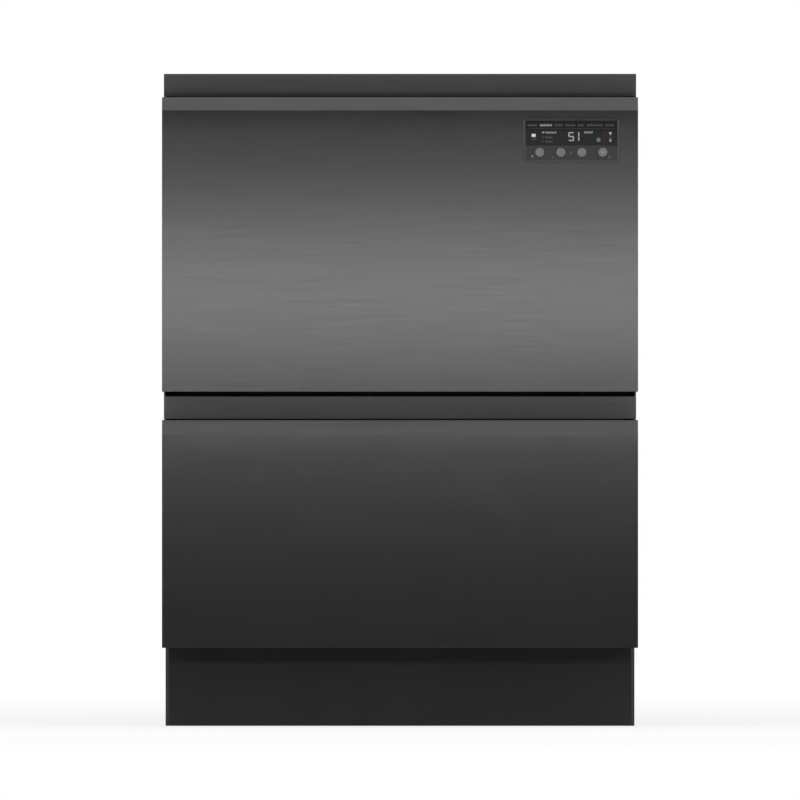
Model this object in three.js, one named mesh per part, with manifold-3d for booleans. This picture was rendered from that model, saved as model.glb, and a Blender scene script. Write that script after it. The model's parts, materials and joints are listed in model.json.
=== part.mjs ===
// Built-in double drawer dishwasher: two tubs on telescopic runners in one steel chassis.
// Millimetres, +X right, +Y back, +Z up. The origin is on the floor, in the middle of the plan.

import * as THREE from 'three';
import { mergeVertices } from 'three/addons/utils/BufferGeometryUtils.js';
import Module from 'manifold-3d';

const wasm = await Module();
wasm.setup();

// ---------------------------------------------------------------- driving dimensions

// Overall. The fronts are the widest pieces, and every other width follows from them.
const FRONT_WIDTH = 599;
const DEPTH = 573;
const HEIGHT = 822;

// Fits
const GAP = 0.3;
const RUNNING_GAP = 0.5;

// How far a cutter runs past a face, and how far joined shapes run into each other.
const OVERRUN = 1;

// Sheet metal
const SHEET = 1.5;
const SKIN = 1.2;

// Drawer fronts, from the floor up
const LOWER_FRONT_BOTTOM = 99.2;
const LOWER_FRONT_HEIGHT = 286.7;
const UNDER_FRONT_GAP = 5.8;
const FRONT_DEPTH = 20;
const LIP = { height: 16.8, lean: 11.8, back: 6, drop: 18 };

// Handle recess behind each lip, and the ribs of the moulding that holds it
const CHANNEL = { depth: 42, wall: 2.5, inset: 9.5, topDrop: 3, fillet: 4, stripGap: 2 };
const BACKING = { ribs: 7, ribDrop: 12, endDrop: 1.5 };

// Handle strips: the strip above each front, set back from it
const STRIP = { setback: 42.5, height: 28.5, flange: 7, gap: 1.3, railDepth: 38, notchGap: 3 };

// Toe kick
const TOE = { inset: 2, setback: 50, foldDepth: 36, bottom: 0.5, bend: 4, shelf: 14 };

// Chassis
const CHASSIS = { inset: 2, frontSetback: 24.5, baseHeight: 30, flange: 14, foldDrop: 18.5 };
const PLAIN_BACK_HEIGHT = 90;
const JOGGLE = { depth: 4, below: 1, above: 3 };
const MOUNT_SLOT = { width: 6, height: 16, inset: 9, fromFrontEnd: 52 };
const SWAGE = { count: 4, width: 50, depth: 4, slope: 8, edgeRoom: 117.5 };
const SIDE_BEAD = { height: 50, depth: 2, endRoom: 30, cornerCut: 14 };
const BEAD = { width: 60, endRoom: 60, radius: 28, depth: 0.75 };
const TRAY = { height: 30, ribReach: 3, ribWidth: 2, ribHeight: 8 };

// Feet
const FOOT = {
  sideRoom: 47.5,
  frontRoom: 121.5,
  rearRoom: 51.5,
  padRadius: 21,
  padBevel: 2,
  padEdge: 4,
  coneRadius: 10,
  coneTop: 8,
  nutBottom: 6,
  shoulder: 11.5,
  stemRadius: 5,
  stemTop: 95,
};
const BOSS = { radius: 12, height: 34 };

// Runners: three nested members, seen in section
const RUNNER = {
  thickness: 13,
  height: 46,
  length: 450,
  setback: 71.5,
  metal: 1.3,
  lip: 5,
  outerDepth: 11,
  middleInset: 2.2,
  middleHeight: 40.8,
  middleClearance: 0.7,
  innerHeight: 34.4,
  innerFlange: 8.5,
  belowRim: 130,
};

// Tubs
const RIM_DROP = 14;
const LOWER_TUB_LIFT = 1.8;
const UPPER_TUB_LIFT = 6.5;
const TUB = {
  sideRoom: 7.4,
  frontSetback: 55.5,
  rearRoom: 58.5,
  draft: 8,
  wall: 3,
  corner: 42,
  rimFlange: 7,
  rimThickness: 4,
  floorRise: 36,
  sumpRadius: 48,
  funnelRadius: 108,
  funnelDrop: 8,
  padLength: 44,
  padHeight: 30,
  padPitch: 160,
  bossX: 190,
  bossWidth: 48,
  bossHeight: 24,
  bossRise: 40,
  bossLift: 30,
  ribX: 150,
  ribDepth: 16,
  ribEndRoom: 40,
};
const DRAIN = { x: 95, y: 55, radius: 33, rise: 10, cupRadius: 29, cupWall: 2, cupRise: 6, gripWidth: 3 };
const MOTOR = { innerRadius: 53, outerRadius: 72, height: 24, bevel: 4 };

// Filter and spray arm
const FILTER = {
  radius: 155,
  thickness: 3,
  dome: 8,
  crownRadius: 40,
  edge: 6,
  sides: 16,
  slotLength: 52,
  slotWidth: 4,
  slotCentre: 82,
  slotPitch: 2,
};
const POST = { radius: 8, height: 26 };
const ARM = {
  tipRoom: 32,
  rise: 16,
  thickness: 12,
  rootWidth: 50,
  tipWidth: 28,
  hubRadius: 24,
  hubCrown: 8,
  bevel: 3,
  sweep: 6,
  waist: 90,
  shoulder: 30,
  nozzleRadius: 2.4,
  nozzleDepth: 3,
  nozzleRoom: 25,
  nozzlePitch: 45,
  nozzles: 3,
};

// Racks
const LOWER_RACK_DROP = 44;
const UPPER_RACK_DROP = 68;
const RACK = {
  sideRoom: 35,
  endRoom: 28,
  rise: 38,
  wire: 2,
  rimWire: 2.6,
  bend: 22,
  lean: 5,
  crosswise: 5,
  lengthwise: 4,
  wireRoom: 40,
  legY: 120,
};
const WIRE_SIDES = 4;
const TINE = { height: 75, wire: 1.8, pitches: 7, foldY: 45, backY: 140, frontY: -50, lift: 12 };
const EYE = { thickness: 3, halfWidth: 5, shoulder: 3 };

// Cutlery basket
const BASKET = {
  sideRoom: 24,
  frontRoom: 30,
  width: 70,
  length: 230,
  height: 105,
  wall: 2.4,
  cells: 4,
  taper: 4,
  corner: 10,
  rim: 2,
  rimHeight: 4,
  cellTaper: 3,
  slotWidth: 24,
  slotBottom: 14,
  slotTop: 18,
};

// Dispenser, its sliding door and the rails that the door runs in
const DISPENSER = {
  halfWidth: 78,
  height: 84,
  belowRim: 38,
  corner: 8,
  plate: 3,
  bodyInset: 16,
  bodyDepth: 20,
  bodyDrop: 8,
  cupWidth: 56,
  cupHeight: 46,
  cupWall: 6,
  cupLift: 6,
  cupFloor: 2,
};
const DOOR = {
  plate: 1.8,
  overlap: 3,
  headroom: 1.6,
  gripWidth: 4,
  gripInset: 6,
  gripHeight: 28,
  gripDepth: 3.4,
};
const RAIL = { height: 4, clearance: 3, keeper: 1.2, keeperReach: 2, cover: 7, endInset: 8 };
const KNOB_RECESS = { x: 45, width: 22, height: 8, depth: 1.5, rise: 18 };

// Lids
const LID = {
  overhang: 1,
  travel: 8,
  stop: 0.5,
  plate: 3,
  wall: 3,
  rib: 12,
  ribX: 110,
  ribY: 80,
  lugRoom: 4,
};
const SEAL = { height: 6, width: 9, inset: 0.5, bulbHeight: 3, bulbInset: 1.5, bulbDrop: 2 };
const ACTUATOR = {
  length: 62,
  height: 31,
  depth: 12,
  rise: 6,
  chamfer: 8,
  wall: 3,
  backWall: 2,
  slotWidth: 12,
  slotTop: 5,
  bayTop: 12,
  lugWidth: 11,
  lugHeight: 7,
};

// Control panel, from the right end and the top of the upper front
const PANEL = {
  fromEnd: 83.9,
  fromTop: 54.6,
  width: 120,
  height: 54.8,
  bezel: 2,
  recess: 0.4,
  corner: 2,
  wall: 3,
};
const BUTTON = {
  radius: 6.1,
  pitch: 26.43,
  count: 4,
  belowMiddle: 14.9,
  height: 3,
  crown: 0.8,
  wellDepth: 2,
};

// Rear fittings
const REAR_ROW = 86;
const VALVE = {
  sideRoom: 92.5,
  portRadius: 13,
  mouthRadius: 9,
  mouthDepth: 12,
  width: 34,
  depth: 26,
  flange: 3,
  coilWidth: 22,
  coilHeight: 26,
  coilRoom: 2,
};
const GLAND = { sideRoom: 92.5, width: 40, height: 26, corner: 3.5, depth: 8, collar: 4, holeRadius: 5 };
const DRAIN_HOLE = { fromValve: 85, radius: 16 };

// ---------------------------------------------------------------- values worked out from them

const FACE_Y = -DEPTH / 2;
const REAR_Y = DEPTH / 2;
const FRONT_X = FRONT_WIDTH / 2;
const CHASSIS_X = FRONT_X - CHASSIS.inset;
const INNER_X = CHASSIS_X - SHEET;
const PLINTH_X = CHASSIS_X - JOGGLE.depth;
const TOE_X = CHASSIS_X - TOE.inset;
const CHANNEL_X = FRONT_X - CHANNEL.inset;

const LOWER_FRONT_TOP = LOWER_FRONT_BOTTOM + LOWER_FRONT_HEIGHT;
const LOWER_STRIP_TOP = LOWER_FRONT_TOP + STRIP.gap + STRIP.height;
const UPPER_FRONT_BOTTOM = LOWER_STRIP_TOP + UNDER_FRONT_GAP;
const UPPER_FRONT_TOP = HEIGHT - STRIP.height - STRIP.gap;
const TOE_TOP = LOWER_FRONT_BOTTOM - RUNNING_GAP;
const JOGGLE_BOTTOM = LOWER_FRONT_BOTTOM - JOGGLE.below;
const JOGGLE_TOP = LOWER_FRONT_BOTTOM + JOGGLE.above;
const TRAY_TOP = CHASSIS.baseHeight + TRAY.height;
const CHASSIS_TOP_Z = HEIGHT - SHEET - GAP;

const STRIP_Y = FACE_Y + STRIP.setback;
const BEHIND_STRIP_Y = STRIP_Y + SHEET + GAP;
const CHASSIS_FRONT_Y = FACE_Y + CHASSIS.frontSetback;
const LIP_BACK_Y = FACE_Y + LIP.lean + LIP.back;
const CHANNEL_FRONT_Y = LIP_BACK_Y + GAP;
const CHANNEL_BACK_Y = STRIP_Y + SHEET + CHANNEL.stripGap;
const TOE_Y = FACE_Y + TOE.setback;
const BEHIND_TOE_Y = TOE_Y + TOE.foldDepth + GAP;
const BACK_PANEL_Y = REAR_Y - SHEET;
const FITTING_BACK_Y = BACK_PANEL_Y - GAP;

const FOOT_X = CHASSIS_X - FOOT.sideRoom;
const VALVE_X = VALVE.sideRoom - CHASSIS_X;
const GLAND_X = CHASSIS_X - GLAND.sideRoom;
const FOOT_Y = [FACE_Y + FOOT.frontRoom, REAR_Y - FOOT.rearRoom];
const FOOT_PLACES = FOOT_Y.flatMap((y) => [[-FOOT_X, y], [FOOT_X, y]]);

const RUNNER_WALL_X = INNER_X - GAP;
const RUNNER_Y = FACE_Y + RUNNER.setback;
const TUB_MOUNT_X = RUNNER_WALL_X - RUNNER.thickness - GAP;
const TUB_MOUNT_Y = CHANNEL_BACK_Y + GAP;
const TUB_X = TUB_MOUNT_X - TUB.sideRoom;
const TUB_FRONT_Y = FACE_Y + TUB.frontSetback;
const TUB_REAR_Y = REAR_Y - TUB.rearRoom;
const LID_PLAN = {
  x: TUB_X + LID.overhang,
  front: TUB_FRONT_Y - LID.overhang,
  rear: TUB_REAR_Y + LID.overhang,
};

const RACK_X = TUB_X - RACK.sideRoom;
const RACK_Y = TUB_REAR_Y - RACK.endRoom;
const WIRE_STACK = RACK.wire * 1.6;
const LENGTHWISE_X = spread(RACK.lengthwise, RACK_X - RACK.wireRoom);
const CROSSWISE_Y = spread(RACK.crosswise, RACK_Y - RACK.wireRoom);
const ARM_REACH = TUB_REAR_Y - TUB.draft - TUB.wall - ARM.tipRoom;

const DISPENSER_FACE_Y = TUB_FRONT_Y + TUB.draft + TUB.wall + OVERRUN;
const DOOR_Y = DISPENSER_FACE_Y + DISPENSER.plate + GAP;

const PANEL_X = FRONT_X - PANEL.fromEnd;
const PANEL_Z = UPPER_FRONT_TOP - PANEL.fromTop;
const PANEL_FACE_Y = FACE_Y + PANEL.recess;
const BUTTON_Z = PANEL_Z - BUTTON.belowMiddle;
const BUTTON_X = spread(BUTTON.count, BUTTON.pitch * (BUTTON.count - 1) / 2).map((x) => PANEL_X + x);

const LOWER = drawerLevels('lower', LOWER_FRONT_BOTTOM, LOWER_FRONT_TOP, LOWER_TUB_LIFT, LOWER_RACK_DROP);
const UPPER = drawerLevels('upper', UPPER_FRONT_BOTTOM, UPPER_FRONT_TOP, UPPER_TUB_LIFT, UPPER_RACK_DROP);

function drawerLevels(name, frontBottom, frontTop, tubLift, rackDrop) {
  const rim = frontTop - RIM_DROP;
  const tubBottom = frontBottom + tubLift;
  const under = tubBottom + TUB.floorRise;
  const floor = under + TUB.wall;
  const sealBottom = rim + LID.travel + LID.stop;
  return {
    name,
    frontBottom,
    frontTop,
    rim,
    tubBottom,
    under,
    floor,
    rackFloor: floor + RACK.rise,
    rackTop: rim - rackDrop,
    runnerZ: rim - RUNNER.belowRim,
    sealBottom,
    lidBottom: sealBottom + SEAL.height + GAP,
    dispenserTop: rim - DISPENSER.belowRim,
    dispenserBottom: rim - DISPENSER.belowRim - DISPENSER.height,
  };
}

// Even places on both sides of the middle, from -reach to reach.
function spread(count, reach) {
  return Array.from({ length: count }, (_, i) => -reach + (2 * reach * i) / (count - 1));
}

function ordered(a, b) {
  return [Math.min(a, b), Math.max(a, b)];
}

// ---------------------------------------------------------------- solids

const MERGE_DISTANCE = 1e-4;

function toSolid(geometry) {
  const bare = new THREE.BufferGeometry();
  bare.setAttribute('position', geometry.getAttribute('position'));
  if (geometry.index) bare.setIndex(geometry.index);
  const merged = mergeVertices(bare, MERGE_DISTANCE);
  const position = merged.getAttribute('position');
  const triangles = [];
  for (let i = 0; i < merged.index.count; i += 3) {
    const [a, b, c] = [0, 1, 2].map((k) => merged.index.getX(i + k));
    if (a !== b && b !== c && c !== a) triangles.push([a, b, c]);
  }
  const flip = signedVolume(position, triangles) < 0;
  const triVerts = triangles.flatMap(([a, b, c]) => (flip ? [a, c, b] : [a, b, c]));
  return new wasm.Manifold(new wasm.Mesh({
    numProp: 3,
    vertProperties: new Float32Array(position.array),
    triVerts: new Uint32Array(triVerts),
  }));
}

function signedVolume(position, triangles) {
  const [p, q, r] = [new THREE.Vector3(), new THREE.Vector3(), new THREE.Vector3()];
  return triangles.reduce((sum, [a, b, c]) => {
    p.fromBufferAttribute(position, a);
    q.fromBufferAttribute(position, b);
    r.fromBufferAttribute(position, c);
    return sum + p.dot(q.cross(r));
  }, 0);
}

function union(solids) {
  return solids.reduce((sum, solid) => sum.add(solid));
}

function cut(solid, cutters) {
  return cutters.reduce((rest, cutter) => rest.subtract(cutter), solid);
}

function block(x0, x1, y0, y1, z0, z1) {
  const geometry = new THREE.BoxGeometry(x1 - x0, y1 - y0, z1 - z0);
  return toSolid(geometry.translate((x0 + x1) / 2, (y0 + y1) / 2, (z0 + z1) / 2));
}

// A flat outline pushed along an axis. The outline's plane is YZ, XZ or XY.
function prism(shape, axis, from, to, curveSegments = 2) {
  const options = { depth: to - from, bevelEnabled: false, curveSegments };
  const geometry = new THREE.ExtrudeGeometry(shape, options);
  if (axis === 'x') {
    const turn = new THREE.Matrix4().makeBasis(
      new THREE.Vector3(0, 1, 0),
      new THREE.Vector3(0, 0, 1),
      new THREE.Vector3(1, 0, 0),
    );
    geometry.applyMatrix4(turn).translate(from, 0, 0);
  } else if (axis === 'y') {
    geometry.rotateX(Math.PI / 2).translate(0, to, 0);
  } else {
    geometry.translate(0, 0, from);
  }
  return toSolid(geometry);
}

function outline(points) {
  return new THREE.Shape(points.map(([u, v]) => new THREE.Vector2(u, v)));
}

// The section of a sheet folded along a path. The metal lies on the left of the path.
function folded(path, thickness) {
  const points = path.map(([u, v]) => new THREE.Vector2(u, v));
  const sides = points.slice(1).map((p, i) => {
    const along = p.clone().sub(points[i]).normalize();
    return new THREE.Vector2(-along.y, along.x);
  });
  const offset = points.map((p, i) => {
    const before = sides[Math.max(i - 1, 0)];
    const after = sides[Math.min(i, sides.length - 1)];
    const mitre = before.clone().add(after).normalize();
    return p.clone().addScaledVector(mitre, thickness / mitre.dot(after));
  });
  return new THREE.Shape([...points, ...offset.reverse()]);
}

function roundedRectangle(x0, x1, y0, y1, radius) {
  if (radius <= 0) return outline([[x0, y0], [x1, y0], [x1, y1], [x0, y1]]);
  const shape = new THREE.Shape();
  shape.absarc(x1 - radius, y0 + radius, radius, -Math.PI / 2, 0);
  shape.absarc(x1 - radius, y1 - radius, radius, 0, Math.PI / 2);
  shape.absarc(x0 + radius, y1 - radius, radius, Math.PI / 2, Math.PI);
  shape.absarc(x0 + radius, y0 + radius, radius, Math.PI, Math.PI * 1.5);
  shape.closePath();
  return shape;
}

// A straight-sided body between two rounded rectangles of different size, such as a drafted tub.
function drafted(lower, upper) {
  const cornerSteps = 2;
  const rings = [lower, upper].map((ring) => {
    const points = roundedRectangle(ring.x0, ring.x1, ring.y0, ring.y1, ring.radius).getPoints(cornerSteps);
    return points.filter((p, i) => i === 0 || p.distanceTo(points[i - 1]) > MERGE_DISTANCE)
      .slice(0, -1)
      .map((p) => new THREE.Vector3(p.x, p.y, ring.z));
  });
  const count = rings[0].length;
  const positions = rings.flat().flatMap((p) => p.toArray());
  const faces = THREE.ShapeUtils.triangulateShape(rings[0].map((p) => new THREE.Vector2(p.x, p.y)), []);
  const index = faces.flatMap(([a, b, c]) => [c, b, a, a + count, b + count, c + count]);
  for (let i = 0; i < count; i += 1) {
    const next = (i + 1) % count;
    index.push(i, next, next + count, i, next + count, i + count);
  }
  const geometry = new THREE.BufferGeometry();
  geometry.setAttribute('position', new THREE.Float32BufferAttribute(positions, 3));
  geometry.setIndex(index);
  return toSolid(geometry);
}

// A profile of [radius, z] points turned about a vertical axis.
function turned(profile, x, y, segments = 16) {
  const points = profile.map(([radius, z]) => new THREE.Vector2(radius, z));
  const geometry = new THREE.LatheGeometry(points, segments);
  return toSolid(geometry.rotateX(Math.PI / 2).translate(x, y, 0));
}

function disc(radius, x, y, z0, z1, segments = 12) {
  return turned([[0, z0], [radius, z0], [radius, z1], [0, z1]], x, y, segments);
}

// A round bar along Y, for buttons, ports and bores in upright walls.
function barAlongY(radius, x, z, y0, y1, segments = 14) {
  const geometry = new THREE.CylinderGeometry(radius, radius, y1 - y0, segments);
  return toSolid(geometry.translate(x, (y0 + y1) / 2, z));
}

// A path whose even steps are the corners of a bent wire.
class WirePath extends THREE.Curve {
  constructor(points) {
    super();
    this.points = points;
  }

  getPointAt(t) {
    return this.points[Math.round(t * (this.points.length - 1))].clone();
  }

  getTangentAt(t) {
    const i = Math.round(t * (this.points.length - 1));
    const before = this.points[Math.max(i - 1, 0)];
    const after = this.points[Math.min(i + 1, this.points.length - 1)];
    return after.clone().sub(before).normalize();
  }
}

// Rounds every inner corner of a polyline with an arc-like bend.
function bent(corners, radius) {
  const bendSteps = 2;
  const points = corners.map((p) => new THREE.Vector3(...p));
  return points.flatMap((p, i) => {
    if (i === 0 || i === points.length - 1) return [p];
    const start = p.clone().add(points[i - 1].clone().sub(p).setLength(radius));
    const end = p.clone().add(points[i + 1].clone().sub(p).setLength(radius));
    return new THREE.QuadraticBezierCurve3(start, p, end).getPoints(bendSteps);
  });
}

function wire(points, radius) {
  const section = new THREE.Shape(Array.from({ length: WIRE_SIDES }, (_, i) => {
    const angle = ((i + 0.5) / WIRE_SIDES) * Math.PI * 2;
    return new THREE.Vector2(radius * Math.cos(angle), radius * Math.sin(angle));
  }));
  const options = { steps: points.length - 1, extrudePath: new WirePath(points), bevelEnabled: false };
  return toSolid(new THREE.ExtrudeGeometry(section, options));
}

function rod(from, to, radius) {
  return wire([new THREE.Vector3(...from), new THREE.Vector3(...to)], radius);
}

// A closed wire hoop, made as two halves that run into each other.
function hoop(halfX, halfY, z, radius) {
  const half = (side) => wire(bent([
    [-side * OVERRUN, side * -halfY, z],
    [side * halfX, side * -halfY, z],
    [side * halfX, side * halfY, z],
    [-side * OVERRUN, side * halfY, z],
  ], RACK.bend), radius);
  return half(1).add(half(-1));
}

// ---------------------------------------------------------------- finishes

const FINISH = {
  blackSteel: { color: 0x4a4a4b, roughness: 0.38, metalness: 0.9 },
  toeSteel: { color: 0x262627, roughness: 0.5, metalness: 0.7 },
  zincSteel: { color: 0x9c9fa1, roughness: 0.45, metalness: 0.85 },
  blackPlastic: { color: 0x1b1b1c, roughness: 0.55, metalness: 0 },
  greyPlastic: { color: 0xa9acae, roughness: 0.5, metalness: 0 },
  palePlastic: { color: 0xd6d8d8, roughness: 0.45, metalness: 0 },
  coatedWire: { color: 0x8d9194, roughness: 0.5, metalness: 0 },
  rubber: { color: 0x2a2b2c, roughness: 0.8, metalness: 0 },
  glass: { color: 0x161617, roughness: 0.12, metalness: 0 },
  button: { color: 0x77787a, roughness: 0.4, metalness: 0.4 },
};

const machine = new THREE.Group();

function place(name, solid, finish) {
  const mesh = solid.getMesh();
  const geometry = new THREE.BufferGeometry();
  geometry.setAttribute('position', new THREE.Float32BufferAttribute(mesh.vertProperties, 3));
  geometry.setIndex(Array.from(mesh.triVerts));
  const piece = new THREE.Mesh(geometry, new THREE.MeshStandardMaterial(finish));
  piece.name = name;
  machine.add(piece);
}

// ---------------------------------------------------------------- chassis

// Side sheet with folds along the top and the back. Below the lower front it steps in behind the toe kick.
function chassisSide(side) {
  const outerX = side * CHASSIS_X;
  const plinthX = side * PLINTH_X;
  const flangeX = side * (INNER_X - CHASSIS.flange);
  const rear = FITTING_BACK_Y;
  const section = [
    [flangeX, CHASSIS_TOP_Z],
    [outerX, CHASSIS_TOP_Z],
    [outerX, JOGGLE_TOP],
    [plinthX, JOGGLE_BOTTOM],
    [plinthX, CHASSIS.baseHeight],
  ];
  const path = side > 0 ? section.reverse() : section;
  const sheet = prism(folded(path, SHEET), 'y', CHASSIS_FRONT_Y, rear);
  const rearFold = prism(outline([
    [flangeX, CHASSIS_TOP_Z - SHEET / 2],
    [side * (CHASSIS_X - SHEET / 2), CHASSIS_TOP_Z - SHEET / 2],
    [side * (CHASSIS_X - SHEET / 2), JOGGLE_TOP],
    [side * (PLINTH_X - SHEET / 2), JOGGLE_BOTTOM],
    [side * (PLINTH_X - SHEET / 2), TRAY_TOP + RUNNING_GAP],
    [flangeX, TRAY_TOP + RUNNING_GAP],
  ]), 'y', rear - SHEET, rear - GAP / 3);
  const across = ordered(side * (CHASSIS_X + OVERRUN), side * (INNER_X - CHASSIS.flange - OVERRUN));
  const front = CHASSIS_FRONT_Y - OVERRUN;
  const stripNotch = (top) => block(
    ...across, front, BEHIND_STRIP_Y, top - STRIP.height - STRIP.notchGap, top + STRIP.notchGap);
  const toeNotch = block(
    ...across, front, BEHIND_TOE_Y, CHASSIS.baseHeight - OVERRUN, JOGGLE_TOP + JOGGLE.below + OVERRUN);
  const beads = beadHeights();
  return cut(union([sheet, rearFold, ...beads.map((z) => sideBead(side, z, SHEET, INNER_X + SHEET / 2))]), [
    stripNotch(HEIGHT),
    stripNotch(LOWER_STRIP_TOP),
    toeNotch,
    ...beads.map((z) => sideBead(side, z, 0, CHASSIS_X + OVERRUN)),
    ...slotHeights().map((z) => mountSlot(across, z)),
  ]);
}

// A long stiffening bead, pressed inwards. With no growth it is the hollow that shows outside.
function sideBead(side, z, grow, from) {
  const { height, depth, endRoom, cornerCut } = SIDE_BEAD;
  const y0 = TUB_FRONT_Y + endRoom - grow;
  const y1 = TUB_REAR_Y - endRoom + grow;
  const [z0, z1] = [z - height / 2 - grow, z + height / 2 + grow];
  const plan = outline([
    [y0 + cornerCut, z0],
    [y1 - cornerCut, z0],
    [y1, z0 + cornerCut],
    [y1, z1 - cornerCut],
    [y1 - cornerCut, z1],
    [y0 + cornerCut, z1],
    [y0, z1 - cornerCut],
    [y0, z0 + cornerCut],
  ]);
  return prism(plan, 'x', ...ordered(side * from, side * (CHASSIS_X - depth - grow)));
}

// Two beads beside each tub, one below its runner and one above it.
function beadHeights() {
  const half = RUNNER.height / 2;
  return [LOWER, UPPER].flatMap((d) => [
    (d.tubBottom + d.runnerZ - half) / 2,
    (d.runnerZ + half + d.rim) / 2,
  ]);
}

function mountSlot(across, z) {
  const y = CHASSIS_FRONT_Y + MOUNT_SLOT.inset;
  return block(
    ...across,
    y - MOUNT_SLOT.width / 2,
    y + MOUNT_SLOT.width / 2,
    z - MOUNT_SLOT.height / 2,
    z + MOUNT_SLOT.height / 2,
  );
}

function slotHeights() {
  return [LOWER, UPPER].flatMap((d) => [
    d.frontBottom + MOUNT_SLOT.fromFrontEnd,
    d.frontTop - MOUNT_SLOT.fromFrontEnd,
  ]);
}

// Upright panel with pressed stiffening swages and the openings for water, drain and power.
function chassisBack() {
  const { width, depth, slope } = SWAGE;
  const pressedY = REAR_Y - depth;
  const path = [[CHASSIS_X, REAR_Y]];
  swagePlaces().reverse().forEach((x) => {
    path.push([x + width / 2, REAR_Y], [x + width / 2 - slope, pressedY]);
    path.push([x - width / 2 + slope, pressedY], [x - width / 2, REAR_Y]);
  });
  path.push([-CHASSIS_X, REAR_Y]);
  const plainTop = CHASSIS.baseHeight + PLAIN_BACK_HEIGHT;
  const upper = prism(folded(path, SHEET), 'z', plainTop, CHASSIS_TOP_Z);
  const lower = prism(outline([
    [-PLINTH_X, CHASSIS.baseHeight],
    [PLINTH_X, CHASSIS.baseHeight],
    [PLINTH_X, JOGGLE_BOTTOM],
    [CHASSIS_X, JOGGLE_TOP],
    [CHASSIS_X, plainTop + depth],
    [-CHASSIS_X, plainTop + depth],
    [-CHASSIS_X, JOGGLE_TOP],
    [-PLINTH_X, JOGGLE_BOTTOM],
  ]), 'y', BACK_PANEL_Y, REAR_Y);
  const hole = (x, radius) => barAlongY(radius, x, REAR_ROW, BACK_PANEL_Y - OVERRUN, REAR_Y + OVERRUN);
  return cut(upper.add(lower), [
    prism(glandOutline(0), 'y', BACK_PANEL_Y - OVERRUN, REAR_Y + OVERRUN),
    hole(VALVE_X, VALVE.portRadius + RUNNING_GAP),
    hole(VALVE_X + DRAIN_HOLE.fromValve, DRAIN_HOLE.radius),
  ]);
}

function swagePlaces() {
  return spread(SWAGE.count, CHASSIS_X - SWAGE.edgeRoom);
}

// Top sheet with a front fold and shallow pressed beads over the back's swages.
function chassisTop() {
  const front = BEHIND_STRIP_Y;
  const foldX = INNER_X - CHASSIS.flange - GAP;
  const sheet = block(-CHASSIS_X, CHASSIS_X, front, REAR_Y, HEIGHT - SHEET, HEIGHT);
  const fold = block(-foldX, foldX, front, front + SHEET, HEIGHT - SHEET - CHASSIS.foldDrop, HEIGHT);
  const beads = swagePlaces().map((x) => {
    const plan = roundedRectangle(
      x - BEAD.width / 2, x + BEAD.width / 2, front + BEAD.endRoom, REAR_Y - BEAD.endRoom, BEAD.radius);
    return prism(plan, 'z', HEIGHT - BEAD.depth, HEIGHT + OVERRUN);
  });
  return cut(sheet.add(fold), beads);
}

// Drip tray with four threaded foot bosses and ribs beside them.
function baseTray() {
  const x = PLINTH_X - SHEET - GAP;
  const front = BEHIND_TOE_Y;
  const rear = FITTING_BACK_Y;
  const pan = cut(block(-x, x, front, rear, CHASSIS.baseHeight, TRAY_TOP), [
    block(-x + SHEET, x - SHEET, front + SHEET, rear - SHEET, CHASSIS.baseHeight + SHEET, TRAY_TOP + OVERRUN),
  ]);
  const bottom = FOOT.shoulder + RUNNING_GAP;
  const top = bottom + BOSS.height;
  const bore = FOOT.stemRadius + RUNNING_GAP;
  const bosses = FOOT_PLACES.map(([fx, fy]) => disc(BOSS.radius, fx, fy, bottom, top, 10));
  const bores = FOOT_PLACES.map(([fx, fy]) => disc(bore, fx, fy, bottom - OVERRUN, top + OVERRUN, 8));
  const ribs = [-1, 1].flatMap((side) => [-1, 1].map((turn) => {
    const ribX = side * (FOOT_X - turn * (BOSS.radius + TRAY.ribReach));
    return block(ribX - TRAY.ribWidth / 2, ribX + TRAY.ribWidth / 2, front + OVERRUN, rear - OVERRUN,
      CHASSIS.baseHeight, CHASSIS.baseHeight + TRAY.ribHeight);
  }));
  return cut(union([pan, ...bosses, ...ribs]), bores);
}

function foot(x, y) {
  const { padRadius, padBevel, padEdge, coneRadius, coneTop, stemRadius, stemTop } = FOOT;
  const pad = turned([
    [0, 0],
    [padRadius - padBevel, 0],
    [padRadius, padBevel],
    [padRadius, padEdge],
    [coneRadius, coneTop],
    [stemRadius, coneTop],
    [stemRadius, stemTop - OVERRUN],
    [stemRadius - OVERRUN, stemTop],
    [0, stemTop],
  ], x, y, 10);
  return pad.add(disc(BOSS.radius - padBevel, x, y, FOOT.nutBottom, FOOT.shoulder, 6));
}

// ---------------------------------------------------------------- handle strips and toe kick

// The strip that shows above a front, with folds that pass between the chassis sides.
function handleStrip(top, flange) {
  const bottom = top - STRIP.height;
  const path = [
    [STRIP_Y + flange, top],
    [STRIP_Y, top],
    [STRIP_Y, bottom],
    [STRIP_Y + STRIP.flange, bottom],
  ];
  const sheet = prism(folded(path, SHEET), 'x', -CHASSIS_X, CHASSIS_X);
  const trims = [-1, 1].map((side) => block(
    ...ordered(side * RUNNER_WALL_X, side * (CHASSIS_X + OVERRUN)),
    STRIP_Y + SHEET,
    STRIP_Y + Math.max(flange, STRIP.flange) + OVERRUN,
    bottom - OVERRUN,
    top + OVERRUN,
  ));
  return cut(sheet, trims);
}

// The lower strip runs on as the cross rail between the two drawers.
function lowerStrip() {
  const back = STRIP_Y + STRIP.railDepth;
  const rail = block(
    -RUNNER_WALL_X, RUNNER_WALL_X, back - SHEET, back, LOWER_STRIP_TOP - STRIP.flange, LOWER_STRIP_TOP);
  return handleStrip(LOWER_STRIP_TOP, STRIP.railDepth).add(rail);
}

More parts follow.
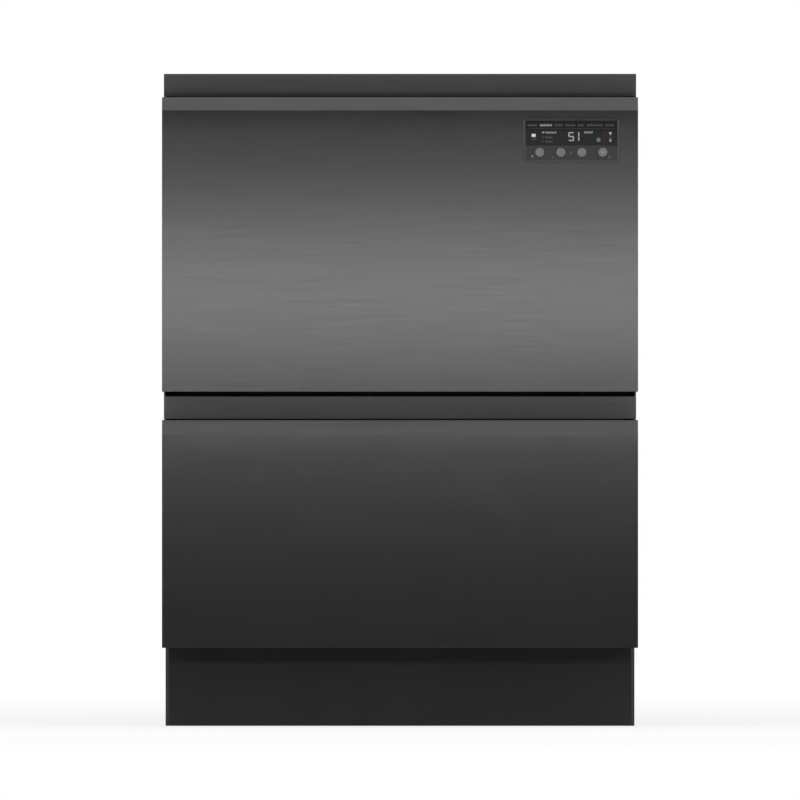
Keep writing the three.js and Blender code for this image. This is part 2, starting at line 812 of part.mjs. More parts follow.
// Plinth sheet with folded ends and a shelf along its top.
function toeKick() {
  const foldBack = TOE_Y + TOE.foldDepth;
  const sheet = folded([
    [-TOE_X, foldBack],
    [-TOE_X, TOE_Y + TOE.bend],
    [-TOE_X + TOE.bend, TOE_Y],
    [TOE_X - TOE.bend, TOE_Y],
    [TOE_X, TOE_Y + TOE.bend],
    [TOE_X, foldBack],
  ], SKIN);
  const shelf = block(
    -TOE_X + SKIN, TOE_X - SKIN, TOE_Y + SKIN / 2, TOE_Y + TOE.shelf, TOE_TOP - SKIN, TOE_TOP);
  return prism(sheet, 'z', TOE.bottom, TOE_TOP).add(shelf);
}

// ---------------------------------------------------------------- rear fittings

// Solenoid valve behind the back panel, with its hose port through it.
function waterValve() {
  const { width, depth, flange, portRadius, mouthRadius, mouthDepth } = VALVE;
  const x = VALVE_X;
  const back = FITTING_BACK_Y;
  const half = width / 2;
  const body = block(x - half, x + half, back - depth, back, REAR_ROW - half / 2, REAR_ROW + half / 2);
  const coil = block(
    x - VALVE.coilWidth / 2,
    x + VALVE.coilWidth / 2,
    back - depth + VALVE.coilRoom,
    back - VALVE.coilRoom,
    REAR_ROW,
    REAR_ROW + VALVE.coilHeight,
  );
  const plate = block(x - half, x + half, back - flange, back, REAR_ROW - half, REAR_ROW + half);
  const port = barAlongY(portRadius, x, REAR_ROW, back - flange - OVERRUN, REAR_Y);
  const mouth = barAlongY(mouthRadius, x, REAR_ROW, REAR_Y - mouthDepth, REAR_Y + OVERRUN);
  return cut(union([body, coil, plate, port]), [mouth]);
}

function glandOutline(grow) {
  const { width, height, corner } = GLAND;
  return roundedRectangle(
    GLAND_X - width / 2 - grow,
    GLAND_X + width / 2 + grow,
    REAR_ROW - height / 2 - grow,
    REAR_ROW + height / 2 + grow,
    corner,
  );
}

function powerGland() {
  const { depth, collar, holeRadius } = GLAND;
  const back = FITTING_BACK_Y;
  const plug = prism(glandOutline(-GAP), 'y', back - depth, REAR_Y, 1);
  const shoulder = prism(glandOutline(collar), 'y', back - collar, back, 1);
  const bore = barAlongY(holeRadius, GLAND_X, REAR_ROW, back - depth - OVERRUN, REAR_Y + OVERRUN);
  return cut(plug.add(shoulder), [bore]);
}

// ---------------------------------------------------------------- runners

// Section of a member in (distance from the chassis wall, height), pushed along Y.
function runnerMember(side, z, section) {
  const placed = section.map(([u, v]) => [side * (RUNNER_WALL_X - u), z + v]);
  const path = side > 0 ? placed : [...placed].reverse();
  return prism(folded(path, RUNNER.metal), 'y', RUNNER_Y, RUNNER_Y + RUNNER.length);
}

function runnerOuter(side, z) {
  const half = RUNNER.height / 2;
  const depth = RUNNER.outerDepth;
  return runnerMember(side, z, [
    [depth, -half + RUNNER.lip],
    [depth, -half],
    [0, -half],
    [0, half],
    [depth, half],
    [depth, half - RUNNER.lip],
  ]);
}

function runnerMiddle(side, z) {
  const half = RUNNER.middleHeight / 2;
  const reach = RUNNER.outerDepth - RUNNER.metal - RUNNER.middleClearance;
  return runnerMember(side, z, [
    [reach, -half],
    [RUNNER.middleInset, -half],
    [RUNNER.middleInset, half],
    [reach, half],
  ]);
}

function runnerInner(side, z) {
  const half = RUNNER.innerHeight / 2;
  const web = RUNNER.thickness;
  const toe = web - RUNNER.innerFlange;
  return runnerMember(side, z, [
    [toe, half],
    [web, half],
    [web, -half],
    [toe, -half],
  ]);
}

// ---------------------------------------------------------------- drawer fronts

// Folded steel face: a leaning lip on top, a fold behind it, and a pocket open to the back.
function frontSkin(d) {
  const { frontBottom: bottom, frontTop: top } = d;
  const pocket = FACE_Y + FRONT_DEPTH;
  const lean = LIP.lean / LIP.height;
  const offset = SKIN * Math.hypot(1, lean);
  const solid = outline([
    [pocket, bottom],
    [FACE_Y, bottom],
    [FACE_Y, top - LIP.height],
    [FACE_Y + LIP.lean, top],
    [LIP_BACK_Y, top],
    [LIP_BACK_Y, top - LIP.drop],
    [pocket, top - LIP.drop],
  ]);
  const hollow = outline([
    [pocket + OVERRUN, bottom + SKIN],
    [FACE_Y + SKIN, bottom + SKIN],
    [FACE_Y + SKIN, top - LIP.height - (offset - SKIN) / lean],
    [FACE_Y + LIP.lean + offset - SKIN * lean, top - SKIN],
    [LIP_BACK_Y - SKIN, top - SKIN],
    [LIP_BACK_Y - SKIN, top - LIP.drop + SKIN / 2],
    [pocket + OVERRUN, top - LIP.drop + SKIN / 2],
  ]);
  const innerX = FRONT_X - SKIN;
  const skin = cut(prism(solid, 'x', -FRONT_X, FRONT_X), [prism(hollow, 'x', -innerX, innerX)]);
  if (d !== UPPER) return skin;
  return cut(skin, [prism(panelOutline(GAP), 'y', FACE_Y - OVERRUN, FACE_Y + SKIN + OVERRUN)]);
}

// Moulded inner panel: the back of the front's pocket, stiffening ribs, and the handle channel on top.
function frontBacking(d) {
  const { wall, fillet } = CHANNEL;
  const floor = d.frontTop - CHANNEL.depth;
  const top = d.frontTop - CHANNEL.topDrop;
  const plateX = FRONT_X - SKIN - GAP;
  const bottom = d.frontBottom + SKIN + GAP;
  const plateBack = CHANNEL_FRONT_Y + wall;
  const channel = prism(outline([
    [CHANNEL_FRONT_Y, floor],
    [CHANNEL_FRONT_Y, top],
    [plateBack, top - OVERRUN],
    [plateBack, floor + wall + fillet],
    [plateBack + fillet, floor + wall],
    [CHANNEL_BACK_Y - wall - fillet, floor + wall],
    [CHANNEL_BACK_Y - wall, floor + wall + fillet],
    [CHANNEL_BACK_Y - wall, top],
    [CHANNEL_BACK_Y, top],
    [CHANNEL_BACK_Y, floor],
  ]), 'x', -CHANNEL_X + OVERRUN, CHANNEL_X - OVERRUN);
  const ribBottom = bottom + BACKING.ribDrop;
  const ends = [-1, 1].map((side) => block(
    ...ordered(side * (CHANNEL_X - wall), side * CHANNEL_X),
    CHANNEL_FRONT_Y + wall / 5,
    CHANNEL_BACK_Y + GAP / 3,
    ribBottom,
    top - BACKING.endDrop,
  ));
  const plate = block(-plateX, plateX, CHANNEL_FRONT_Y, plateBack, bottom, floor + OVERRUN);
  const endX = CHANNEL_X - wall / 2;
  const bay = (2 * endX) / (BACKING.ribs + 1);
  const ribs = spread(BACKING.ribs, endX - bay).map((x) => block(
    x - wall / 2,
    x + wall / 2,
    plateBack - OVERRUN,
    CHANNEL_BACK_Y - GAP,
    ribBottom + OVERRUN,
    floor + OVERRUN,
  ));
  const shelf = block(-endX, endX, plateBack - OVERRUN, CHANNEL_BACK_Y, ribBottom, ribBottom + wall);
  return union([channel, plate, shelf, ...ribs, ...ends]);
}

// ---------------------------------------------------------------- control panel

function panelOutline(grow) {
  const halfX = PANEL.width / 2 + grow;
  const halfZ = PANEL.height / 2 + grow;
  return roundedRectangle(
    PANEL_X - halfX, PANEL_X + halfX, PANEL_Z - halfZ, PANEL_Z + halfZ, PANEL.corner + grow);
}

// Moulded window with a raised bezel, button wells and a hollow back.
function controlPanel() {
  const back = CHANNEL_FRONT_Y - GAP;
  const wellBack = PANEL_FACE_Y + BUTTON.height + BUTTON.wellDepth;
  const body = prism(panelOutline(0), 'y', FACE_Y, back);
  const window = prism(panelOutline(-PANEL.bezel), 'y', FACE_Y - OVERRUN, PANEL_FACE_Y);
  const hollow = prism(panelOutline(-PANEL.wall), 'y', wellBack + BUTTON.wellDepth, back + OVERRUN);
  const wells = BUTTON_X.map((x) => barAlongY(
    BUTTON.radius + GAP, x, BUTTON_Z, PANEL_FACE_Y - OVERRUN, wellBack));
  return cut(body, [window, hollow, ...wells]);
}

function button(x) {
  const { radius, height, crown } = BUTTON;
  const cap = barAlongY(radius, x, BUTTON_Z, PANEL_FACE_Y + RUNNING_GAP, PANEL_FACE_Y + height);
  return cap.add(barAlongY(radius - crown, x, BUTTON_Z, PANEL_FACE_Y, PANEL_FACE_Y + OVERRUN));
}

// ---------------------------------------------------------------- tubs

// Plan of the tub at one height, drawn in from its widest outline.
function tubRing(z, inset) {
  return {
    x0: -TUB_X + inset,
    x1: TUB_X - inset,
    y0: TUB_FRONT_Y + inset,
    y1: TUB_REAR_Y - inset,
    radius: TUB.corner - inset,
    z,
  };
}

// Moulded tub: drafted shell, rim flange, sump funnel, drain well, runner pads and front bosses.
function tub(d) {
  const { draft, wall, rimFlange, rimThickness, sumpRadius, funnelRadius, funnelDrop } = TUB;
  const { tubBottom: bottom, under, rim, floor, runnerZ } = d;
  const shell = drafted(tubRing(under, draft), tubRing(rim, 0));
  const flange = drafted(tubRing(rim - rimThickness, -rimFlange), tubRing(rim, -rimFlange));
  const sump = turned([
    [0, bottom],
    [sumpRadius + wall, bottom],
    [sumpRadius + wall, under - funnelDrop],
    [funnelRadius + wall, under + OVERRUN],
    [0, under + OVERRUN],
  ], 0, 0, 16);
  const well = disc(DRAIN.radius + wall, DRAIN.x, DRAIN.y, bottom + DRAIN.rise, under + OVERRUN);
  const sinkIn = draft + OVERRUN;
  const pads = [-1, 1].flatMap((side) => [-1, 0, 1].map((row) => block(
    ...ordered(side * (TUB_X - sinkIn), side * TUB_MOUNT_X),
    row * TUB.padPitch - TUB.padLength / 2,
    row * TUB.padPitch + TUB.padLength / 2,
    runnerZ - TUB.padHeight / 2,
    runnerZ + TUB.padHeight / 2,
  )));
  const bosses = [-1, 1].flatMap((side) => [under + TUB.bossRise, runnerZ + TUB.bossLift].map((z) => block(
    side * TUB.bossX - TUB.bossWidth / 2,
    side * TUB.bossX + TUB.bossWidth / 2,
    TUB_MOUNT_Y,
    TUB_FRONT_Y + sinkIn,
    z - TUB.bossHeight / 2,
    z + TUB.bossHeight / 2,
  )));
  const ribs = [-1, 1].map((side) => block(
    side * TUB.ribX - wall / 2,
    side * TUB.ribX + wall / 2,
    TUB_FRONT_Y + TUB.ribEndRoom,
    TUB_REAR_Y - TUB.ribEndRoom,
    under - TUB.ribDepth,
    under + OVERRUN,
  ));
  const inside = drafted(tubRing(floor, draft + wall), tubRing(rim + OVERRUN, wall));
  const sumpInside = turned([
    [0, bottom + wall],
    [sumpRadius, bottom + wall],
    [sumpRadius, floor - funnelDrop],
    [funnelRadius, floor + GAP / 3],
    [0, floor + GAP / 3],
  ], 0, 0, 16);
  const wellInside = disc(DRAIN.radius, DRAIN.x, DRAIN.y, bottom + DRAIN.rise + wall, floor + OVERRUN);
  const body = dispenserBody(d, GAP);
  const doorway = block(
    body.x0, body.x1, TUB_FRONT_Y - OVERRUN, DISPENSER_FACE_Y + OVERRUN, body.z0, body.z1);
  return cut(union([shell, flange, sump, well, ...pads, ...bosses, ...ribs]), [
    inside, sumpInside, wellInside, doorway,
  ]);
}

// Annular stator that sits round the sump, under the tub.
function washMotor(d) {
  const { innerRadius, outerRadius, height, bevel } = MOTOR;
  const bottom = d.tubBottom;
  return turned([
    [innerRadius, bottom + bevel / 2],
    [innerRadius + bevel / 2, bottom],
    [outerRadius - bevel, bottom],
    [outerRadius, bottom + bevel],
    [outerRadius, bottom + height - bevel],
    [outerRadius - bevel, bottom + height],
    [innerRadius, bottom + height],
    [innerRadius, bottom + bevel / 2],
  ], 0, 0, 16);
}

// Domed filter plate with slots, the drain filter cup with its grip, and the post of the spray arm.
function filter(d) {
  const { radius, thickness, dome, crownRadius, edge, sides } = FILTER;
  const base = d.floor + GAP;
  const plate = turned([
    [0, base + dome],
    [crownRadius, base + dome],
    [radius - edge, base],
    [radius, base],
    [radius, base + thickness],
    [crownRadius, base + dome + thickness],
    [POST.radius, base + dome + thickness],
    [POST.radius, d.floor + POST.height],
    [0, d.floor + POST.height],
  ], 0, 0, sides);
  const { x, y, cupRadius, cupWall, cupRise, gripWidth } = DRAIN;
  const cupBottom = d.tubBottom + DRAIN.rise + TUB.wall + cupWall;
  const inner = cupRadius - cupWall;
  const cup = turned([
    [inner, cupBottom],
    [cupRadius, cupBottom],
    [cupRadius, base + cupRise],
    [inner, base + cupRise],
    [inner, cupBottom],
  ], x, y, 14);
  const cupHole = disc(inner, x, y, base - cupRise, base + dome + thickness + OVERRUN, 14);
  const gripReach = inner + OVERRUN;
  const grip = block(
    x - gripReach, x + gripReach, y - gripWidth / 2, y + gripWidth / 2, base - dome, base + cupRise);
  return union([cut(plate, [cupHole, ...filterSlots(base)]), cup, grip]);
}

// Slots on every other facet of the plate, clear of the drain filter cup.
function filterSlots(z) {
  const { sides, dome, slotLength, slotWidth, slotCentre, slotPitch } = FILTER;
  const drainTurn = Math.atan2(DRAIN.y, DRAIN.x);
  const clearTurn = Math.atan2(DRAIN.cupRadius + slotWidth, slotCentre);
  return Array.from({ length: sides / slotPitch }, (_, i) => i * slotPitch + 0.5)
    .map((facet) => (facet / sides) * Math.PI * 2)
    .filter((angle) => Math.abs(angle - drainTurn) > clearTurn)
    .map((angle) => {
      const slot = new THREE.BoxGeometry(slotLength, slotWidth, dome * 5);
      return toSolid(slot.translate(slotCentre, 0, z).rotateZ(angle));
    });
}

// Two swept blades on a hub, with nozzles along the top.
function sprayArm(d) {
  const { rise, thickness, rootWidth, tipWidth, hubRadius, hubCrown, bevel, sweep, waist, shoulder } = ARM;
  const bottom = d.floor + rise;
  const shape = new THREE.Shape();
  const half = rootWidth / 2;
  const tip = tipWidth / 2;
  const tipX = ARM_REACH - tip;
  shape.moveTo(-shoulder, -half);
  shape.quadraticCurveTo(waist, -half - sweep, tipX, -tip - sweep);
  shape.absarc(tipX, -sweep, tip, -Math.PI / 2, Math.PI / 2);
  shape.quadraticCurveTo(waist, tip - bevel, shoulder, half);
  shape.quadraticCurveTo(-waist, half + sweep, -tipX, tip + sweep);
  shape.absarc(-tipX, sweep, tip, Math.PI / 2, Math.PI * 1.5);
  shape.quadraticCurveTo(-waist, bevel - tip, -shoulder, -half);
  const options = {
    depth: thickness - 2 * bevel,
    bevelThickness: bevel,
    bevelSize: bevel,
    bevelOffset: -bevel,
    bevelSegments: 1,
    curveSegments: 2,
  };
  const blades = toSolid(new THREE.ExtrudeGeometry(shape, options).translate(0, 0, bottom + bevel));
  const top = bottom + thickness;
  const hub = turned([
    [0, bottom - OVERRUN],
    [hubRadius, bottom - OVERRUN],
    [hubRadius, top],
    [hubRadius - hubCrown, top + hubCrown / 2],
    [0, top + hubCrown / 2],
  ], 0, 0, 16);
  const postTop = d.floor + POST.height;
  const bore = disc(POST.radius + RUNNING_GAP, 0, 0, bottom - 2 * OVERRUN, postTop + OVERRUN, 16);
  const nozzles = Array.from({ length: ARM.nozzles }, (_, i) => ARM.nozzleRoom + i * ARM.nozzlePitch)
    .map((room) => ARM_REACH - room)
    .flatMap((x) => [[x, -sweep], [-x, sweep]])
    .map(([x, y]) => disc(ARM.nozzleRadius, x, y, top - ARM.nozzleDepth, top + OVERRUN, 4));
  return cut(blades.add(hub), [bore, ...nozzles]);
}

// ---------------------------------------------------------------- racks

// Wire basket: bent wires both ways, a rim hoop, legs, fixed tine rows and the eyes of the folding row.
function rack(d) {
  const { wire: radius, rimWire, bend, lean, legY } = RACK;
  const { rackFloor: floor, rackTop: top } = d;
  const raised = floor + WIRE_STACK;
  const crosswise = CROSSWISE_Y.map((y) => wire(bent([
    [-RACK_X, y, top],
    [-RACK_X + lean, y, floor],
    [RACK_X - lean, y, floor],
    [RACK_X, y, top],
  ], bend), radius));
  const lengthwise = LENGTHWISE_X.map((x) => wire(bent([
    [x, -RACK_Y, top],
    [x, -RACK_Y + lean, raised],
    [x, RACK_Y - lean, raised],
    [x, RACK_Y, top],
  ], bend), radius));
  const rim = hoop(RACK_X + radius, RACK_Y + radius, top, rimWire);
  const legX = LENGTHWISE_X[LENGTHWISE_X.length - 1];
  const legs = [-legX, legX].flatMap((x) => [-legY, legY].map((y) => rod(
    [x, y, d.floor + GAP], [x, y, raised], radius)));
  const tines = [TINE.backY, TINE.frontY].flatMap((y) => tineRow(y, raised + OVERRUN));
  const eyes = eyePlaces().map((x) => eyePlate(x, floor + TINE.lift, raised));
  return union([...crosswise, ...lengthwise, rim, ...legs, ...tines, ...eyes]);
}

// The folding row turns in two eyes, which stand on lengthwise floor wires.
function eyePlaces() {
  return [LENGTHWISE_X[1], LENGTHWISE_X[LENGTHWISE_X.length - 1]];
}

// A bar with upright prongs, half a pitch clear of the eyes.
function tineRow(y, z) {
  const [first, last] = eyePlaces();
  const pitch = (last - first) / TINE.pitches;
  const prongs = Array.from({ length: TINE.pitches + 1 }, (_, i) => first + (i - 0.5) * pitch)
    .map((x) => rod([x, y, z], [x, y, z + TINE.height], TINE.wire));
  return [rod([first - pitch, y, z], [last + pitch / 4, y, z], TINE.wire), ...prongs];
}

function eyePlate(x, pivotZ, baseZ) {
  const { thickness, halfWidth, shoulder } = EYE;
  const plate = outline([
    [TINE.foldY - halfWidth, baseZ],
    [TINE.foldY + halfWidth, baseZ],
    [TINE.foldY + halfWidth, pivotZ + halfWidth - shoulder],
    [TINE.foldY + shoulder, pivotZ + halfWidth],
    [TINE.foldY - shoulder, pivotZ + halfWidth],
    [TINE.foldY - halfWidth, pivotZ + halfWidth - shoulder],
  ]);
  const hole = new THREE.Path();
  hole.absarc(TINE.foldY, pivotZ, TINE.wire + RUNNING_GAP, 0, Math.PI * 2);
  plate.holes.push(hole);
  return prism(plate, 'x', x - thickness / 2, x + thickness / 2, 4);
}

function foldingTines(d) {
  return union(tineRow(TINE.foldY, d.rackFloor + TINE.lift));
}

// Moulded basket with tapered cells and one open slot through each cell's two long walls.
function cutleryBasket(d) {
  const { width, length, height, wall, cells, taper, corner, rim, rimHeight, cellTaper, slotWidth } = BASKET;
  const x0 = -RACK_X + BASKET.sideRoom;
  const x1 = x0 + width;
  const y0 = -RACK_Y + BASKET.frontRoom;
  const y1 = y0 + length;
  const bottom = d.rackFloor + WIRE_STACK + RACK.wire + GAP;
  const top = bottom + height;
  const ring = (z, inset) => ({
    x0: x0 + inset,
    x1: x1 - inset,
    y0: y0 + inset,
    y1: y1 - inset,
    radius: corner,
    z,
  });
  const shell = drafted(ring(bottom, taper), ring(top, 0));
  const edge = drafted(ring(top - rimHeight, -rim), ring(top, -rim));
  const cellLength = (length - wall) / cells;
  const starts = Array.from({ length: cells }, (_, i) => y0 + wall + i * cellLength);
  const hollows = starts.map((start) => {
    const cell = (z, inset, radius) => ({
      x0: x0 + wall + inset,
      x1: x1 - wall - inset,
      y0: start + inset * (cellTaper / taper),
      y1: start + cellLength - wall - inset * (cellTaper / taper),
      radius,
      z,
    });
    return drafted(cell(bottom + wall, taper, corner - taper), cell(top + OVERRUN, 0, corner - taper));
  });
  const slots = starts.map((start) => {
    const middle = start + (cellLength - wall) / 2;
    return block(x0 - taper, x1 + taper, middle - slotWidth / 2, middle + slotWidth / 2,
      bottom + BASKET.slotBottom, top - BASKET.slotTop);
  });
  return cut(shell.add(edge), [...hollows, ...slots]);
}

// ---------------------------------------------------------------- dispensers

// The part of the dispenser that passes through the tub's front wall.
function dispenserBody(d, grow) {
  const halfX = DISPENSER.halfWidth - DISPENSER.bodyInset + grow;
  return {
    x0: -halfX,
    x1: halfX,
    z0: d.dispenserBottom + DISPENSER.bodyDrop - grow,
    z1: d.dispenserTop - DISPENSER.bodyDrop + grow,
  };
}

function cupBox(d) {
  const x0 = dispenserBody(d, 0).x0 + DISPENSER.cupWall;
  const middle = (d.dispenserTop + d.dispenserBottom) / 2 + DISPENSER.cupLift;
  return {
    x0,
    x1: x0 + DISPENSER.cupWidth,
    z0: middle - DISPENSER.cupHeight / 2,
    z1: middle + DISPENSER.cupHeight / 2,
  };
}

// Plate, body and detergent cup, with the two rails that hold the sliding door.
function dispenser(d) {
  const { halfWidth, corner, plate: thickness, bodyDepth, cupFloor, cupWall } = DISPENSER;
  const face = DISPENSER_FACE_Y;
  const front = face + thickness;
  const back = front - bodyDepth;
  const plan = roundedRectangle(-halfWidth, halfWidth, d.dispenserBottom, d.dispenserTop, corner);
  const plate = prism(plan, 'y', face, front, 3);
  const { x0, x1, z0, z1 } = dispenserBody(d, 0);
  const body = block(x0, x1, back, face + OVERRUN, z0, z1);
  const cup = cupBox(d);
  const hollow = block(cup.x0, cup.x1, back + cupFloor, front + OVERRUN, cup.z0, cup.z1);
  const [railStart, railEnd] = [cup.x0 - cupWall, halfWidth - RAIL.endInset];
  const railTop = front + DOOR.plate + DOOR.headroom;
  const lowerRail = cup.z0 - RAIL.cover;
  const upperRail = cup.z1 + RAIL.cover - RAIL.height;
  const rails = [lowerRail, upperRail].map((z) => block(
    railStart, railEnd, front - OVERRUN, railTop, z, z + RAIL.height));
  const keepers = [
    [lowerRail, lowerRail + RAIL.height + RAIL.keeperReach],
    [upperRail - RAIL.keeperReach, upperRail + RAIL.height],
  ].map(([from, to]) => block(railStart, railEnd, railTop - RAIL.keeper, railTop, from, to));
  const { x, width, height, depth, rise } = KNOB_RECESS;
  const knobBottom = d.dispenserBottom + rise - height / 2;
  const knobPlan = roundedRectangle(
    x - width / 2, x + width / 2, knobBottom, knobBottom + height, height / 2 - GAP / 3);
  const knob = prism(knobPlan, 'y', front - depth, front + OVERRUN, 3);
  return cut(union([plate, body, ...rails, ...keepers]), [hollow, knob]);
}

function dispenserDoor(d) {
  const cup = cupBox(d);
  const x0 = cup.x0 - DOOR.overlap;
  const middle = (cup.z0 + cup.z1) / 2;
  const reach = RAIL.clearance - GAP;
  const plate = block(
    x0, cup.x1 + DOOR.overlap, DOOR_Y, DOOR_Y + DOOR.plate, cup.z0 - reach, cup.z1 + reach);
  const gripX = x0 + DOOR.gripInset;
  const grip = block(
    gripX,
    gripX + DOOR.gripWidth,
    DOOR_Y + DOOR.plate / 2,
    DOOR_Y + DOOR.plate + DOOR.gripDepth,
    middle - DOOR.gripHeight / 2,
    middle + DOOR.gripHeight / 2,
  );
  return plate.add(grip);
}

// ---------------------------------------------------------------- lids

function lidOutline(inset) {
  const { x, front, rear } = LID_PLAN;
  return roundedRectangle(-x + inset, x - inset, front + inset, rear - inset, TUB.corner - inset);
}

// Ribbed cover that comes down on the tub, with a lug at each side for its actuator.
function lid(d) {
  const { plate, wall, rib, ribX, ribY } = LID;
  const { x, front, rear } = LID_PLAN;
  const bottom = d.lidBottom;
  const top = bottom + plate + rib;
  const sheet = prism(lidOutline(0), 'z', bottom, bottom + plate);
  const skirt = cut(prism(lidOutline(0), 'z', bottom, top), [
    prism(lidOutline(wall), 'z', bottom - OVERRUN, top + OVERRUN),
  ]);
  const ribTop = top - plate;
  const inset = wall - OVERRUN;
  const ribs = [
    ...[-ribX, ribX].map((u) => block(
      u - wall / 2, u + wall / 2, front + inset, rear - inset, bottom + OVERRUN, ribTop)),
    ...[-ribY, ribY].map((v) => block(
      -x + inset, x - inset, v - wall / 2, v + wall / 2, bottom + OVERRUN, ribTop)),
  ];
  const lugZ = bottom + plate - OVERRUN;
  const lugs = [-1, 1].map((side) => block(
    ...ordered(side * (x - inset), side * (RUNNER_WALL_X - LID.lugRoom)),
    -ACTUATOR.lugWidth / 2,
    ACTUATOR.lugWidth / 2,
    lugZ,
    lugZ + ACTUATOR.lugHeight,
  ));
  return union([sheet, skirt, ...ribs, ...lugs]);
}

// Rubber seal under the edge of the lid: a flat back with a narrower bulb below it.
function lidSeal(d) {
  const { height, width, inset, bulbHeight, bulbInset, bulbDrop } = SEAL;
  const bottom = d.sealBottom;
  const top = bottom + height;
  const ring = (outer, inner, z0, z1) => prism(lidOutline(outer), 'z', z0, z1)
    .subtract(prism(lidOutline(inner), 'z', z0 - OVERRUN, z1 + OVERRUN));
  const back = ring(inset, width, bottom + bulbDrop, top);
  const bulb = ring(inset + bulbInset, width - bulbInset, bottom, bottom + bulbHeight);
  return back.add(bulb);
}

// Lift motor housing on the chassis side, with the slot that guides the lid's lug.
function lidActuator(side, d) {
  const { length, height, depth, rise, chamfer, wall, backWall, slotWidth, slotTop, bayTop } = ACTUATOR;
  const z0 = d.rim + rise;
  const z1 = z0 + height;
  const half = length / 2;
  const across = (from, to) => ordered(side * (RUNNER_WALL_X - from), side * (RUNNER_WALL_X - to));
  const housing = prism(outline([
    [-half, z0],
    [half, z0],
    [half, z1 - chamfer],
    [half - chamfer, z1],
    [-half + chamfer, z1],
    [-half, z1 - chamfer],
  ]), 'x', ...across(0, depth));
  const slot = block(
    ...across(backWall, depth + OVERRUN), -slotWidth / 2, slotWidth / 2, z0 - OVERRUN, z1 - slotTop);
  const bay = block(
    ...across(backWall, depth - OVERRUN), slotWidth / 2 + wall, half - wall, z0 - OVERRUN, z1 - bayTop);
  return cut(housing, [slot, bay]);
}

// ---------------------------------------------------------------- assembly

place('chassis_side_left', chassisSide(-1), FINISH.zincSteel);
place('chassis_side_right', chassisSide(1), FINISH.zincSteel);
place('chassis_back', chassisBack(), FINISH.zincSteel);
place('chassis_top', chassisTop(), FINISH.zincSteel);
place('base_tray', baseTray(), FINISH.greyPlastic);
place('handle_strip_upper', handleStrip(HEIGHT, SHEET), FINISH.blackSteel);
place('handle_strip_lower', lowerStrip(), FINISH.blackSteel);
place('toe_kick', toeKick(), FINISH.toeSteel);
place('water_valve', waterValve(), FINISH.palePlastic);
place('power_gland', powerGland(), FINISH.blackPlastic);
FOOT_PLACES.forEach(([x, y]) => {
  const name = `foot_${y < 0 ? 'front' : 'rear'}_${x < 0 ? 'left' : 'right'}`;
  place(name, foot(x, y), FINISH.blackPlastic);
});

[LOWER, UPPER].forEach((d) => {
  [[-1, 'left'], [1, 'right']].forEach(([side, hand]) => {
    place(`${d.name}_runner_outer_${hand}`, runnerOuter(side, d.runnerZ), FINISH.zincSteel);
    place(`${d.name}_runner_middle_${hand}`, runnerMiddle(side, d.runnerZ), FINISH.zincSteel);
    place(`${d.name}_runner_inner_${hand}`, runnerInner(side, d.runnerZ), FINISH.zincSteel);
    place(`${d.name}_lid_actuator_${hand}`, lidActuator(side, d), FINISH.blackPlastic);
  });
  place(`${d.name}_front_skin`, frontSkin(d), FINISH.blackSteel);
  place(`${d.name}_front_backing`, frontBacking(d), FINISH.blackPlastic);
  place(`${d.name}_tub`, tub(d), FINISH.greyPlastic);
  place(`${d.name}_wash_motor`, washMotor(d), FINISH.blackPlastic);
  place(`${d.name}_filter`, filter(d), FINISH.greyPlastic);
  place(`${d.name}_spray_arm`, sprayArm(d), FINISH.palePlastic);
  place(`${d.name}_rack`, rack(d), FINISH.coatedWire);
  place(`${d.name}_folding_tines`, foldingTines(d), FINISH.coatedWire);
  place(`${d.name}_dispenser`, dispenser(d), FINISH.palePlastic);
  place(`${d.name}_dispenser_door`, dispenserDoor(d), FINISH.greyPlastic);
  place(`${d.name}_lid`, lid(d), FINISH.palePlastic);
  place(`${d.name}_lid_seal`, lidSeal(d), FINISH.rubber);
});
place('cutlery_basket', cutleryBasket(UPPER), FINISH.greyPlastic);
place('control_panel', controlPanel(), FINISH.glass);
BUTTON_X.forEach((x, i) => place(`button_${i + 1}`, button(x), FINISH.button));

export default machine;
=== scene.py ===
"""Looks of the built-in double drawer dishwasher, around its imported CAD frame. Metres, +Z up, front at -Y."""

import json
import math

import bmesh
import bpy
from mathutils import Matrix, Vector


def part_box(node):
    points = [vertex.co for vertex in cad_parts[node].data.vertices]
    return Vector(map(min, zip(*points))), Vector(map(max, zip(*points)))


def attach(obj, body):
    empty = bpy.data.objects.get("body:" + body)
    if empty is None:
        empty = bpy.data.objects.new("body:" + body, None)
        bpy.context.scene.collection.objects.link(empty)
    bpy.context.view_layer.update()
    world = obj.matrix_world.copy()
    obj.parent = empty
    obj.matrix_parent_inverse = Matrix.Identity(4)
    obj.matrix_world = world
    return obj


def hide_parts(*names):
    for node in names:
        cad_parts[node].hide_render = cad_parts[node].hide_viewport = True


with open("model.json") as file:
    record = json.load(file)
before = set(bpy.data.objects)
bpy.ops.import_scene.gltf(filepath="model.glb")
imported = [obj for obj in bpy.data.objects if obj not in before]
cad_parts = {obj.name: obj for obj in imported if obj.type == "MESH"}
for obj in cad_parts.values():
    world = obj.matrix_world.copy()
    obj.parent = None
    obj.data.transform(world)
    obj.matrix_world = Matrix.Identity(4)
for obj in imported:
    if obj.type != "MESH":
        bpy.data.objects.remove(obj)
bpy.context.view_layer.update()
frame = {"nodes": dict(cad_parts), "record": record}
nodes = frame["nodes"]

# ---------------------------------------------------------------- driving values

MM = 0.001
WHITE = (1.0, 1.0, 1.0, 1.0)

# The photograph's frame: a straight front view, 800 pixels wide. The camera and the window's marks share its scale.
IMAGE_PIXELS = 800
PIXEL = 1.2579 * MM
FLOOR_PIXEL_ROW = 726.8
SENSOR = 36.0
LENS = 1000.0
CLIP_START = 0.5
CLIP_END = 200.0

